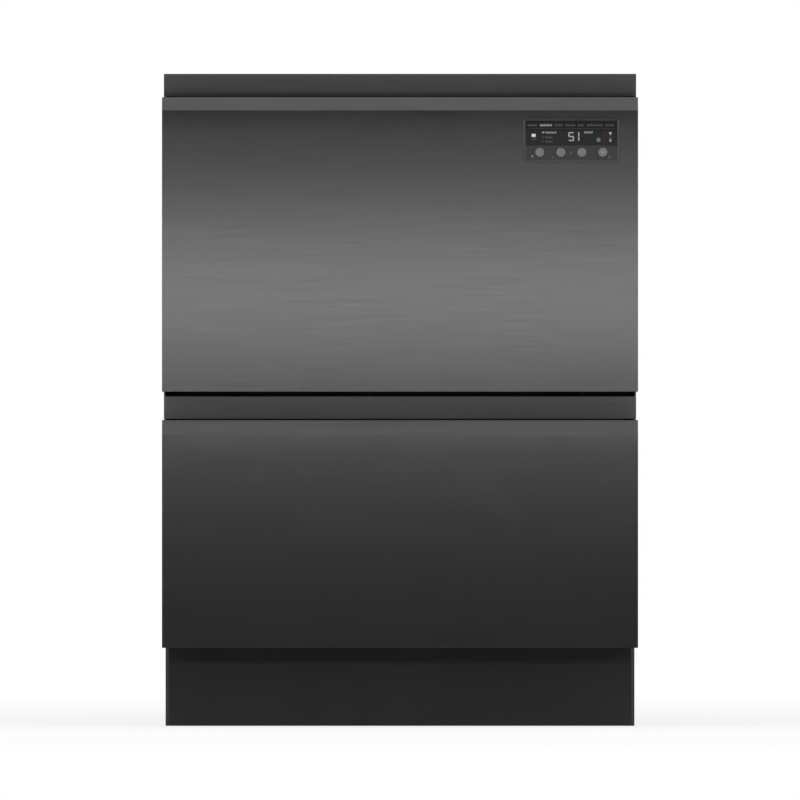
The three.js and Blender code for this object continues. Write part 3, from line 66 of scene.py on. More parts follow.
# The room's level, and the dark flag in front, with its edges as cosines from straight ahead.
STRAIGHT_AHEAD = (0.0, -1.0, 0.0)
ROOM_LEVEL = 0.47
FLAG_LEVEL = 0.012
FLAG_INNER = 0.966
FLAG_OUTER = 0.72

# The floor: its tone, the share of plain white that the camera sees near the machine, and where that grows to all.
FLOOR_TONE = 0.85
FLOOR_WHITE = 0.8
FLOOR_FADE = (0.6, 2.4)
FLOOR_HALF = 60.0
FLOOR_DROP = 0.5 * MM

# The mat in front of the machine, as mirrored rays meet it: its tone near the machine and far off, where it
# fades, where its front edge is, and how it widens ahead.
MAT_NEAR = 0.08
MAT_FAR = 0.01
MAT_FADE = (0.8, 2.2)
MAT_EDGE = 0.1
MAT_HALF_WIDTH = (0.45, 0.95)
MAT_SPREAD = 0.2

# Lamps that the steel mirrors: name, height, distance in front of the faces, own height and level.
STRIP_WIDTH = 3.0
STRIP_LIGHTS = (
    ("front_strip", 0.554, 1.16, 0.1, 2.98),
    ("front_low", 0.38, 1.16, 0.24, 0.1),
)

# Soft boxes that the steel doesn't mirror: name, place, target, width, height and power in watts.
FILL_LIGHTS = (
    ("top_box", (0.0, -0.9, 2.6), (0.0, -0.2, 0.4), 2.4, 1.6, 30.0),
    ("left_box", (-2.4, -1.4, 1.3), (0.0, 0.0, 0.4), 1.4, 1.6, 12.0),
    ("right_box", (2.4, -1.4, 1.3), (0.0, 0.0, 0.4), 1.4, 1.6, 12.0),
)

# Each front leans back a little more and more over this height below the fold of its lip.
BOW_REACH = 26.0 * MM
BOW_DEPTH = 0.32 * MM
BOW_SHARE = {"lower": 0.45, "upper": 1.0}
LIP_HEIGHT = 16.9 * MM

# Where the machine's faces are, read from the frame.
FACE_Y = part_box("upper_front_skin")[0].y
PANEL_LOW, PANEL_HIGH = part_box("control_panel")
PANEL_RECESS = 0.4 * MM
PANEL_FACE_Y = PANEL_LOW.y + PANEL_RECESS


def image_height_to_z(row):
    """Height in metres of a row of the photograph."""
    return (FLOOR_PIXEL_ROW - row) * PIXEL


# ---------------------------------------------------------------- camera

def make_camera():
    data = bpy.data.cameras.new("camera")
    data.sensor_width = SENSOR
    data.lens = LENS
    distance = IMAGE_PIXELS * PIXEL * LENS / SENSOR
    data.clip_start = CLIP_START
    data.clip_end = CLIP_END
    camera = bpy.data.objects.new("camera", data)
    bpy.context.scene.collection.objects.link(camera)
    camera.location = (0.0, FACE_Y - distance, image_height_to_z(IMAGE_PIXELS / 2))
    camera.rotation_euler = (math.pi / 2, 0.0, 0.0)
    bpy.context.scene.camera = camera


make_camera()
bpy.context.scene.view_settings.view_transform = "Standard"


# ---------------------------------------------------------------- node helpers

def new_tree(name):
    material = bpy.data.materials.new(name)
    material.use_nodes = True
    tree = material.node_tree
    tree.nodes.clear()
    return material, tree


def add(tree, kind, **inputs):
    """A node with the named inputs set; an underscore stands for a space."""
    node = tree.nodes.new(kind)
    for key, value in inputs.items():
        node.inputs[key.replace("_", " ")].default_value = value
    return node


def axes(tree, kind):
    """The three axes of the Object or Generated coordinates."""
    where = tree.nodes.new("ShaderNodeTexCoord")
    split = tree.nodes.new("ShaderNodeSeparateXYZ")
    tree.links.new(where.outputs[kind], split.inputs[0])
    return split.outputs


def math_node(tree, operation, a, b=None, clamp=False):
    """The result of a sum on sockets or plain numbers."""
    node = tree.nodes.new("ShaderNodeMath")
    node.operation = operation
    node.use_clamp = clamp
    for socket, value in zip(node.inputs, (a, b)):
        if value is None:
            continue
        if isinstance(value, (int, float)):
            socket.default_value = value
        else:
            tree.links.new(value, socket)
    return node.outputs[0]


def mapped_noise(tree, scale, detail=2.0, roughness=0.5):
    """Noise in object space, with the scale's repeats per metre along each axis."""
    where = tree.nodes.new("ShaderNodeTexCoord")
    mapping = add(tree, "ShaderNodeMapping", Scale=scale)
    tree.links.new(where.outputs["Object"], mapping.inputs["Vector"])
    noise = add(tree, "ShaderNodeTexNoise", Scale=1.0, Detail=detail, Roughness=roughness)
    tree.links.new(mapping.outputs["Vector"], noise.inputs["Vector"])
    return noise.outputs["Fac"]


def ranged(tree, value, low, high, out_low=0.0, out_high=1.0):
    """The value's place between low and high, as one between out_low and out_high."""
    node = add(tree, "ShaderNodeMapRange", From_Min=low, From_Max=high, To_Min=out_low, To_Max=out_high)
    tree.links.new(value, node.inputs["Value"])
    return node.outputs["Result"]


def varied(tree, noise, level, spread):
    """A level that the noise moves up and down by the spread's share of it."""
    return ranged(tree, noise, *NOISE_SPAN, level * (1 - spread), level * (1 + spread))


def blended(tree, factor, first, second):
    """A colour between two."""
    node = tree.nodes.new("ShaderNodeMix")
    node.data_type = "RGBA"
    node.inputs["A"].default_value = (*first, 1.0)
    node.inputs["B"].default_value = (*second, 1.0)
    tree.links.new(factor, node.inputs["Factor"])
    return node.outputs["Result"]


def shaded(tree, factor, color, low, high):
    """The colour times a share between low and high."""
    return blended(tree, factor, tuple(c * low for c in color), tuple(c * high for c in color))


def bow_below_folds(tree, where):
    """The height of the fronts' sheet, which leans back just below the fold of each lip."""
    total = 0.0
    for drawer, share in BOW_SHARE.items():
        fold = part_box(f"{drawer}_front_skin")[1].z - LIP_HEIGHT
        near = ranged(tree, where, fold - BOW_REACH, fold)
        curve = math_node(tree, "MULTIPLY", math_node(tree, "MULTIPLY", near, near), share)
        total = math_node(tree, "SUBTRACT", total, curve)
    return total


def bumped(tree, height, strength, distance):
    """The normal over a relief of this strength and depth."""
    node = add(tree, "ShaderNodeBump", Strength=strength, Distance=distance)
    tree.links.new(height, node.inputs["Height"])
    return node.outputs["Normal"]


def finish_tree(tree, shader):
    out = tree.nodes.new("ShaderNodeOutputMaterial")
    tree.links.new(shader, out.inputs["Surface"])


def surface(tree, tone, roughness, normal=None, **inputs):
    """A finished surface with its tone, roughness and normal linked and the other inputs set."""
    shader = add(tree, "ShaderNodeBsdfPrincipled", **inputs)
    tree.links.new(tone, shader.inputs["Base Color"])
    tree.links.new(roughness, shader.inputs["Roughness"])
    if normal is not None:
        tree.links.new(normal, shader.inputs["Normal"])
    finish_tree(tree, shader.outputs["BSDF"])
    return shader


# ---------------------------------------------------------------- materials

# The spans in which most values of a fine noise and of a soft one lie.
NOISE_SPAN = (0.3, 0.7)
PATCH_SPAN = (0.35, 0.65)

# The steel's grain along X: repeats per metre of its hairlines and streaks, and how they show.
HAIRLINES = (6.0, 1100.0, 1100.0)
STREAKS = (14.0, 420.0, 420.0)
HAIRLINE_SHARE = 0.45
STREAK_SHARE = 0.55
GRAIN_CONTRAST = 0.1
GRAIN_ROUGHNESS_SPREAD = 0.03
GRAIN_RELIEF = 0.03
GRAIN_DEPTH = 0.02 * MM
ANISOTROPY = 0.6
QUARTER_TURN = 0.25

# The zinc sheet's spangles, the plastics' texture and flow marks, and the window's texture and smears.
SPANGLES = (170.0, 170.0, 170.0)
SPANGLE_RELIEF = 0.05
FLOW_MARKS = (14.0, 14.0, 5.0)
TEXTURE_DEPTH = 0.1 * MM
WINDOW_TEXTURE = (2200.0, 2200.0, 2200.0)
SMEARS = (60.0, 60.0, 60.0)

# The window's rim, painted lighter as a highlight of its rounded edge: how far it stands proud of the face, and its
# top edge, painted darker as shade, down from the window's top.
RIM_STEP = (0.05 * MM, 0.1 * MM)
RIM_PAINTED_SHADE = (4.0 * MM, 1.5 * MM)
# Shares of the display's height between which its glass turns grey.
HAZE_SPAN = (0.8, 0.45)

def grain_streaks(tree):
    """A grain of fine hairlines with some longer and taller streaks among them, and the hairlines alone."""
    fine = mapped_noise(tree, HAIRLINES, detail=3.0, roughness=0.7)
    tall = mapped_noise(tree, STREAKS, detail=1.0)
    hairlines = math_node(tree, "MULTIPLY", fine, HAIRLINE_SHARE)
    streaks = math_node(tree, "MULTIPLY", tall, STREAK_SHARE)
    return math_node(tree, "ADD", hairlines, streaks), fine


def brushed_steel(tree, color, roughness):
    """Steel with a fine grain along X: faint streaks in tone and roughness, and a shallow relief."""
    streak, fine = grain_streaks(tree)
    tone = shaded(tree, ranged(tree, streak, *NOISE_SPAN), color, 1 - GRAIN_CONTRAST, 1 + GRAIN_CONTRAST)
    bow = bumped(tree, bow_below_folds(tree, axes(tree, "Object")["Z"]), 1.0, BOW_DEPTH)
    relief = bumped(tree, fine, GRAIN_RELIEF, GRAIN_DEPTH)
    tree.links.new(bow, relief.node.inputs["Normal"])
    shader = surface(tree, tone, varied(tree, streak, roughness, GRAIN_ROUGHNESS_SPREAD), relief,
                     Metallic=0.96, Anisotropic=ANISOTROPY, Anisotropic_Rotation=QUARTER_TURN)
    tangent = tree.nodes.new("ShaderNodeTangent")
    tangent.direction_type = "RADIAL"
    tangent.axis = "Z"
    tree.links.new(tangent.outputs["Tangent"], shader.inputs["Tangent"])


def satin_steel_painted_shade(tree, color, roughness):
    """The same steel in a recess, duller, with painted shade that darkens it towards its lower edge."""
    streak, fine = grain_streaks(tree)
    # Painted shade: the tone runs from dark at the strip's lower edge to light at its top, with the grain's streaks
    # added.
    height = math_node(tree, "MULTIPLY", axes(tree, "Generated")["Z"], 0.6)
    painted_shade_and_grain = math_node(tree, "ADD", height, ranged(tree, streak, *NOISE_SPAN, 0.0, 0.4), clamp=True)
    surface(tree, shaded(tree, painted_shade_and_grain, color, 0.75, 1.2), varied(tree, fine, roughness, GRAIN_ROUGHNESS_SPREAD),
            Metallic=0.6)


def sheet_steel(tree, color, roughness):
    """Zinc coated sheet: soft spangles and a few dull patches."""
    patches = mapped_noise(tree, SPANGLES, detail=3.0, roughness=0.6)
    tone = shaded(tree, ranged(tree, patches, *PATCH_SPAN), color, 0.93, 1.04)
    relief = bumped(tree, patches, SPANGLE_RELIEF, TEXTURE_DEPTH)
    surface(tree, tone, varied(tree, patches, roughness, 0.15), relief, Metallic=1.0)


def moulded(tree, color, roughness, texture=1800.0, relief=0.15):
    """Moulded plastic with a spark-eroded texture and faint flow marks."""
    fine = mapped_noise(tree, (texture, texture, texture))
    flow = mapped_noise(tree, FLOW_MARKS)
    tone = shaded(tree, ranged(tree, flow, *PATCH_SPAN), color, 0.95, 1.04)
    surface(tree, tone, varied(tree, fine, roughness, 0.08), bumped(tree, fine, relief, TEXTURE_DEPTH))


def panel_plastic(tree, face, rim, top, roughness):
    """The window's dark plastic, with a painted highlight on its rim where it stands proud of the face, and painted
    shade along the rim's top.
    """
    place = axes(tree, "Object")
    # Painted highlight: the rim is lighter where it stands proud; below, painted shade darkens it along its top.
    rim_painted_highlight = ranged(tree, place["Y"], *(PANEL_FACE_Y - step for step in RIM_STEP))
    high = ranged(tree, place["Z"], *(PANEL_HIGH.z - down for down in RIM_PAINTED_SHADE))
    tone = blended(tree, rim_painted_highlight, face, rim)
    tree.links.new(blended(tree, high, rim, top), tone.node.inputs["B"])
    surface(tree, tone, varied(tree, mapped_noise(tree, WINDOW_TEXTURE), roughness, 0.1))


def lit_glass(tree, top, low, roughness):
    """Glass over the lit display, which greys it towards its lower edge."""
    haze = ranged(tree, axes(tree, "Generated")["Z"], *HAZE_SPAN)
    surface(tree, blended(tree, haze, top, low), varied(tree, mapped_noise(tree, SMEARS), roughness, 0.08),
            Coat_Weight=0.5)


def printed(tree, tone, tint=(1.0, 1.0, 1.0), lit=0.0):
    """Ink or a lamp segment behind the window: a flat tone, with some light of its own where it is lit."""
    color = (*(tone * share for share in tint), 1.0)
    shader = add(tree, "ShaderNodeBsdfPrincipled", Base_Color=color, Roughness=0.5,
                 Emission_Color=(*tint, 1.0), Emission_Strength=lit)
    finish_tree(tree, shader.outputs["BSDF"])


FINISHES = {
    "black_stainless": (brushed_steel, dict(color=(0.2, 0.2, 0.202), roughness=0.22)),
    "strip_steel": (satin_steel_painted_shade, dict(color=(0.099, 0.099, 0.101), roughness=0.45)),
    # A lighter copy of the strips' steel: painted light on the lower strip, which sits in a shaded recess.
    "low_strip_steel_painted_light": (satin_steel_painted_shade, dict(color=(0.142, 0.142, 0.144), roughness=0.45)),
    "toe_steel": (moulded, dict(color=(0.021, 0.021, 0.0215), roughness=0.42, texture=1200.0, relief=0.1)),
    "zinc_steel": (sheet_steel, dict(color=(0.55, 0.56, 0.57), roughness=0.42)),
    "black_plastic": (moulded, dict(color=(0.012, 0.012, 0.0125), roughness=0.5)),
    "grey_plastic": (moulded, dict(color=(0.36, 0.37, 0.38), roughness=0.45)),
    "pale_plastic": (moulded, dict(color=(0.62, 0.63, 0.63), roughness=0.42)),
    "coated_wire": (moulded, dict(color=(0.26, 0.27, 0.28), roughness=0.35, relief=0.05)),
    "seal_rubber": (moulded, dict(color=(0.025, 0.025, 0.026), roughness=0.7, relief=0.25)),
    # The rim's tone is a painted highlight, and the top's tone is painted shade on that rim.
    "panel_black": (panel_plastic, dict(face=(0.0405, 0.0405, 0.041), rim=(0.078, 0.078, 0.079),
                                        top=(0.047, 0.047, 0.048), roughness=0.3)),
    "display_glass": (lit_glass, dict(top=(0.0195, 0.0195, 0.0198), low=(0.0295, 0.0295, 0.0295), roughness=0.12)),
    "mark_faint": (printed, dict(tone=0.034)),
    "mark_dim": (printed, dict(tone=0.062)),
    "mark_soft": (printed, dict(tone=0.125)),
    "mark_mid": (printed, dict(tone=0.24)),
    "mark_lit": (printed, dict(tone=0.36, lit=0.08)),
    "mark_white": (printed, dict(tone=0.62, lit=0.1)),
    "mark_green": (printed, dict(tone=0.17, tint=(0.92, 1.0, 0.95))),
    "mark_red": (printed, dict(tone=0.015, tint=(1.6, 0.86, 1.02))),
    "mark_ring": (printed, dict(tone=0.3)),
    "button_grey": (moulded, dict(color=(0.17, 0.17, 0.172), roughness=0.36, relief=0.05)),
}


def make_material(name, fill_tree, values):
    material, tree = new_tree(name)
    fill_tree(tree, **values)
    return material


MATERIALS = {name: make_material(name, fill_tree, values) for name, (fill_tree, values) in FINISHES.items()}

# Nodes whose material differs from their slot's usual one: both strips carry painted shade, and the lower strip's
# steel is a lighter copy, painted light for its shaded recess.
NODE_MATERIALS = {
    "handle_strip_upper": "strip_steel",
    "handle_strip_lower": "low_strip_steel_painted_light",
}

# Width of the small rounding along the edges of each finish.
EDGE_ROUNDING = {
    "black_stainless": 0.5 * MM,
    "toe_steel": 0.3 * MM,
    "zinc_steel": 0.2 * MM,
    "panel_black": 0.15 * MM,
    "button_grey": 0.3 * MM,
    "coated_wire": 0.0,
}
USUAL_ROUNDING = 0.6 * MM
WELD_REACH = 0.01 * MM
FLAT_ANGLE = math.radians(0.6)
SHARP_ANGLE = math.radians(32)


def soften(node, width):
    """Smooth shading on round faces, and a small rounding along every sharp edge."""
    mesh = node.data
    if "custom_normal" in mesh.attributes:
        mesh.attributes.remove(mesh.attributes["custom_normal"])
    mesh.shade_smooth()
    weld = node.modifiers.new("weld", "WELD")
    weld.merge_threshold = WELD_REACH
    flat = node.modifiers.new("flat_faces", "DECIMATE")
    flat.decimate_type = "DISSOLVE"
    flat.angle_limit = FLAT_ANGLE
    edges = node.modifiers.new("edges", "BEVEL")
    edges.width = width
    edges.segments = 2
    edges.limit_method = "ANGLE"
    edges.angle_limit = SHARP_ANGLE
    edges.harden_normals = True


def dress_nodes():
    """The finish of each solid, and its softened edges."""
    for subpart in frame["record"]["subparts"]:
        name, slot = subpart["node"], subpart["material_slot"]
        node = nodes[name]
        node.data.materials.clear()
        node.data.materials.append(MATERIALS[NODE_MATERIALS.get(name, slot)])
        width = EDGE_ROUNDING.get(slot, USUAL_ROUNDING)
        if width:
            soften(node, width)


dress_nodes()


# ---------------------------------------------------------------- marks on the control window

# Places and sizes here are pixels of the photograph, because the marks are read from it: left, right, top, bottom
# for a bar, and left, right, row of the middle, height and gap between the blocks for a label.
FILM = 0.1 * MM
IMAGE_MIDDLE = 399.97
DISPLAY_BAND = (525.3, 617.2, 120.7, 145.6)
PROGRAM_LABELS = ((527.6, 537.5), (554.6, 562.5), (565.4, 575.5), (577.7, 584.2), (587.0, 602.5), (605.4, 614.0))
PROGRAM_ROW = (125.1, 2.3, 0.5)
CHOSEN_LABEL = (539.9, 552.1, 125.1, 2.3, 0.2)
LIT_STATUS_LABEL = (544.9, 556.4, 132.4, 2.0, 0.3)
DIM_STATUS_LABELS = ((545.6, 552.8, 137.2, 2.1, 0.3), (545.6, 552.5, 141.5, 2.1, 0.3))
UNIT_LABEL = (584.3, 592.8, 132.2, 2.2, 0.2)
BLOCK_PITCH = 1.7
LOW_BLOCK_SHARE = 0.72
RULE = (527.2, 614.4, 128.2, 128.7)
STATUS_DOT_COLUMN = 543.0
STATUS_DOT_ROWS = (132.4, 137.2, 141.5)
STATUS_DOT_RADIUS = 0.75
BLOCK_ICON = (531.6, 535.6, 133.9, 136.9)
BLOCK_SHADE = (531.3, 535.9, 138.1, 140.6)
WARM_PATCH = (601.8, 608.7, 131.5, 145.1)
TRIANGLE_ICON = (608.8, 611.9, 132.2, 135.5)

# The drop icon's middle, then its disc's distance below and radius, and its ring's distance above, radius
# and width.
DROP_ICON = (610.4, 139.9)
DROP_DISC = (0.8, 1.0)
DROP_RING = (0.9, 0.7, 0.45)

# Column, row and radius of round marks, with the finish of the small ones.
ROUND_ICON = (598.5, 139.9, 2.1)
SMALL_MARKS = ((532.1, 156.3, 1.2, "mark_mid"), (553.0, 157.6, 1.0, "mark_soft"),
               (571.0, 152.6, 1.1, "mark_soft"), (609.5, 157.2, 1.3, "mark_soft"))

# The figures: left, right and which of the seven bars are lit, as top, middle, bottom, upper left and right,
# lower left and right.
FIGURES = ((568.4, 573.9, (1, 1, 1, 1, 0, 0, 1)), (577.5, 579.3, (0, 0, 0, 0, 1, 0, 1)))
FIGURE_ROWS = (132.1, 141.0)
FIGURE_STROKE = 1.1
FIGURE_GAP = 0.25
FIGURE_INSET = 0.4

# The caps' rings and glyphs, with outlines in millimetres from the cap's middle.
CAP_RING = (3.9 * MM, 0.35 * MM)
DIAMOND = (1.5 * MM, 0.4 * MM)
DOT_RADIUS = 1.1 * MM
ARROW = ((-0.9, -1.3), (1.2, 0.0), (-0.9, 1.3))
SMALL_ARROW = ((-1.7, -1.3), (0.2, 0.0), (-1.7, 1.3))
FIRST_BAR = ((0.8, -1.2), (1.25, -1.2), (1.25, 1.2), (0.8, 1.2))
SECOND_BAR = ((1.7, -1.2), (2.15, -1.2), (2.15, 1.2), (1.7, 1.2))


def image_x(column):
    """Place across in metres of a column of the photograph."""
    return (column - IMAGE_MIDDLE) * PIXEL


class Film:
    """Thin flat shapes of one tone, gathered into one mesh on a plane in front of the window."""

    def __init__(self, name, material, front_y, body, slot="panel_black"):
        self.name, self.material, self.front_y, self.body, self.slot = name, material, front_y, body, slot
        self.mesh = bmesh.new()

    def shape(self, points):
        """A filled outline of (x, z) points in metres."""
        back = [self.mesh.verts.new((x, self.front_y + FILM, z)) for x, z in points]
        front = [self.mesh.verts.new((x, self.front_y, z)) for x, z in points]
        count = len(points)
        self.mesh.faces.new(front)
        self.mesh.faces.new(back[::-1])
        for i in range(count):
            j = (i + 1) % count
            self.mesh.faces.new((front[j], front[i], back[i], back[j]))

    def bar(self, left, right, top, bottom):
        """A rectangle given in pixels of the photograph."""
        x0, x1 = image_x(left), image_x(right)
        z0, z1 = image_height_to_z(bottom), image_height_to_z(top)
        self.shape([(x0, z0), (x1, z0), (x1, z1), (x0, z1)])

    def disc(self, x, z, radius, sides):
        turns = (2 * math.pi * i / sides for i in range(sides))
        self.shape([(x + radius * math.cos(t), z + radius * math.sin(t)) for t in turns])

    def ring(self, x, z, radius, width, sides=32):
        """A ring of the given inner radius and width."""
        for i in range(sides):
            a, b = (2 * math.pi * (i + k) / sides for k in (0, 1))
            corners = ((radius, a), (radius + width, a), (radius + width, b), (radius, b))
            self.shape([(x + r * math.cos(t), z + r * math.sin(t)) for r, t in corners])

    def finish(self):
        bmesh.ops.recalc_face_normals(self.mesh, faces=self.mesh.faces)
        data = bpy.data.meshes.new(self.name)
        self.mesh.to_mesh(data)
        self.mesh.free()
        data.materials.append(MATERIALS[self.material])
        piece = bpy.data.objects.new(self.name, data)
        bpy.context.scene.collection.objects.link(piece)
        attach(piece, self.body)


def label(film, left, right, row, height, gap):
    """A row of short upright blocks."""
    count = max(1, round((right - left) / BLOCK_PITCH))
    pitch = (right - left) / count
    bottom = row + height / 2
    for i in range(count):
        tall = height * (LOW_BLOCK_SHARE if i % 2 else 1.0)
        start = left + i * pitch
        film.bar(start, start + pitch - gap / 2, bottom - tall, bottom)


def figure(film, left, right, lit):
    """A plain figure of seven bars."""
    top, bottom = FIGURE_ROWS
    middle = (top + bottom) / 2
    half = FIGURE_STROKE / 2
    inset = FIGURE_STROKE * FIGURE_INSET
    bars = [(left + inset, right - inset, row - half, row + half) for row in (top + half, middle, bottom - half)]
    bars += [(column, column + FIGURE_STROKE, start + FIGURE_GAP, end - FIGURE_GAP)
             for start, end in ((top, middle), (middle, bottom)) for column in (left, right - FIGURE_STROKE)]
    for on, bar in zip(lit, bars):
        if on:
            film.bar(*bar)


def make_panel_marks():
    """The display's glass, and the marks on it and on the window."""
    low = PANEL_FACE_Y - FILM
    high = low - FILM
    glass = Film("panel_display_glass", "display_glass", low, "upper_drawer")
    glass.bar(*DISPLAY_BAND)
    warm = Film("panel_warm_patch", "mark_red", high, "upper_drawer")
    warm.bar(*WARM_PATCH)
    faint = Film("panel_marks_faint", "mark_faint", high, "upper_drawer")
    faint.bar(*RULE)
    faint.bar(*BLOCK_SHADE)
    dim = Film("panel_marks_dim", "mark_dim", high, "upper_drawer")
    for left, right in PROGRAM_LABELS:
        label(dim, left, right, *PROGRAM_ROW)
    for place in DIM_STATUS_LABELS:
        label(dim, *place)
    clear = Film("panel_marks_clear", "mark_mid", high, "upper_drawer")
    for place in (CHOSEN_LABEL, LIT_STATUS_LABEL, UNIT_LABEL):
        label(clear, *place)
    bright = Film("panel_marks_bright", "mark_lit", high, "upper_drawer")
    for place in FIGURES:
        figure(bright, *place)
    white = Film("panel_marks_white", "mark_white", high, "upper_drawer")
    white.bar(*BLOCK_ICON)
    left, right, top, bottom = TRIANGLE_ICON
    bright.shape([(image_x(left), image_height_to_z(top)), (image_x((left + right) / 2), image_height_to_z(bottom)),
                 (image_x(right), image_height_to_z(top))])
    column, row = DROP_ICON
    drop_x, drop_z = image_x(column), image_height_to_z(row)
    down, radius = (PIXEL * share for share in DROP_DISC)
    bright.disc(drop_x, drop_z - down, radius, sides=14)
    up, radius, width = (PIXEL * share for share in DROP_RING)
    clear.ring(drop_x, drop_z + up, radius, width, sides=12)
    for row, film in zip(STATUS_DOT_ROWS, (white, dim, dim)):
        film.disc(image_x(STATUS_DOT_COLUMN), image_height_to_z(row), STATUS_DOT_RADIUS * PIXEL, sides=10)
    green = Film("panel_marks_green", "mark_green", high, "upper_drawer")
    column, row, size = ROUND_ICON
    green.disc(image_x(column), image_height_to_z(row), size * PIXEL, sides=20)
    for film in (glass, warm, faint, dim, clear, bright, white, green):
        film.finish()
    for i, (column, row, size, tone) in enumerate(SMALL_MARKS):
        film = Film(f"panel_small_mark_{i + 1}", tone, low, "upper_drawer")
        film.disc(image_x(column), image_height_to_z(row), size * PIXEL, sides=6)
        film.finish()


def make_button_marks():
    """A fine ring and a small plain glyph on each button cap."""
    for i, tone in enumerate(("mark_ring", "mark_mid", "mark_mid", "mark_lit")):
        name = f"button_{i + 1}"
        low_corner, high_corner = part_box(name)
        x, z = (low_corner.x + high_corner.x) / 2, (low_corner.z + high_corner.z) / 2
        front = low_corner.y - FILM
        ring = Film(f"{name}_ring", "mark_ring", front, name, "button_grey")
        ring.ring(x, z, *CAP_RING)
        ring.finish()
        glyph = Film(f"{name}_glyph", tone, front, name, "button_grey")
        if i == 0:
            glyph.ring(x, z, *DIAMOND, sides=4)
        elif i == 2:
            glyph.disc(x, z, DOT_RADIUS, sides=12)
        for outline in {1: (ARROW,), 3: (SMALL_ARROW, FIRST_BAR, SECOND_BAR)}.get(i, ()):
            glyph.shape([(x + across * MM, z + up * MM) for across, up in outline])
        glyph.finish()


make_panel_marks()
make_button_marks()


# ---------------------------------------------------------------- racks of round wire

# Radii of the wires. The rim of the solids is square, and its corner reaches this share of its radius outwards.
WIRE = 2.0 * MM
RIM_WIRE = 2.6 * MM
TINE_WIRE = 1.8 * MM
EYE_WIRE = 1.3 * MM
POST_WIRE = 1.5 * MM
SQUARE_CORNER = math.cos(math.pi / 4)

# Levels and bends of the wires, and where the legs, tines and eyes stand.
FOOT_GAP = 0.3 * MM
RACK_RISE = 38 * MM
RACK_LEAN = 5 * MM
RACK_BEND = 22 * MM
WIRE_STACK = 3.2 * MM
WIRE_ROOM = 40 * MM
LEG_Y = 120 * MM
TINE_HEIGHT = 75 * MM
TINE_PITCHES = 7
TINE_LIFT = 12 * MM
FIXED_TINES_Y = (140 * MM, -50 * MM)
FOLD_Y = 45 * MM
EYE_RADIUS = 3.9 * MM
EYE_TURNS = 16
CROSSWISE = 13
LENGTHWISE = 10

# How a tine's tip is rounded: how far before its end, in radii, and how thick it is there.
TIP_STEPS = (1.0, 0.5, 0.15, 0.0)
TIP_SHARES = (1.0, 0.87, 0.5, 0.12)


def rounded(corners, radius, steps=5):
    """The polyline with every inner corner turned into a bend."""
    corners = [Vector(c) for c in corners]
    path = [corners[0]]
    for before, corner, after in zip(corners, corners[1:], corners[2:]):
        start = corner + (before - corner).normalized() * radius
        end = corner + (after - corner).normalized() * radius
        for i in range(steps + 1):
            t = i / steps
            path.append(start * (1 - t) ** 2 + corner * 2 * t * (1 - t) + end * t ** 2)
    return path + [corners[-1]]


def wire_piece(name, paths, radius, body, closed=False, tips=False):
    """Round wires along paths, as one piece. Tips are drawn in at their upper end."""
    curve = bpy.data.curves.new(name, "CURVE")
    curve.dimensions = "3D"
    curve.bevel_depth = radius
    curve.bevel_resolution = 3
    curve.use_fill_caps = True
    for path in paths:
        path = [Vector(p) for p in path]
        if tips:
            end, way = path[-1], (path[-1] - path[-2]).normalized()
            path[-1:] = [end - way * radius * step for step in TIP_STEPS]
        spline = curve.splines.new("POLY")
        spline.points.add(len(path) - 1)
        for point, place in zip(spline.points, path):
            point.co = (*place, 1.0)
        if tips:
            for point, share in zip(spline.points[-len(TIP_SHARES):], TIP_SHARES):
                point.radius = share
        spline.use_cyclic_u = closed
    curve.materials.append(MATERIALS["coated_wire"])
    piece = bpy.data.objects.new(name, curve)
    bpy.context.scene.collection.objects.link(piece)
    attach(piece, body)
    return piece


def spread(count, reach):
    """Even places from one end of the reach to the other."""
    return [-reach + 2 * reach * i / (count - 1) for i in range(count)]


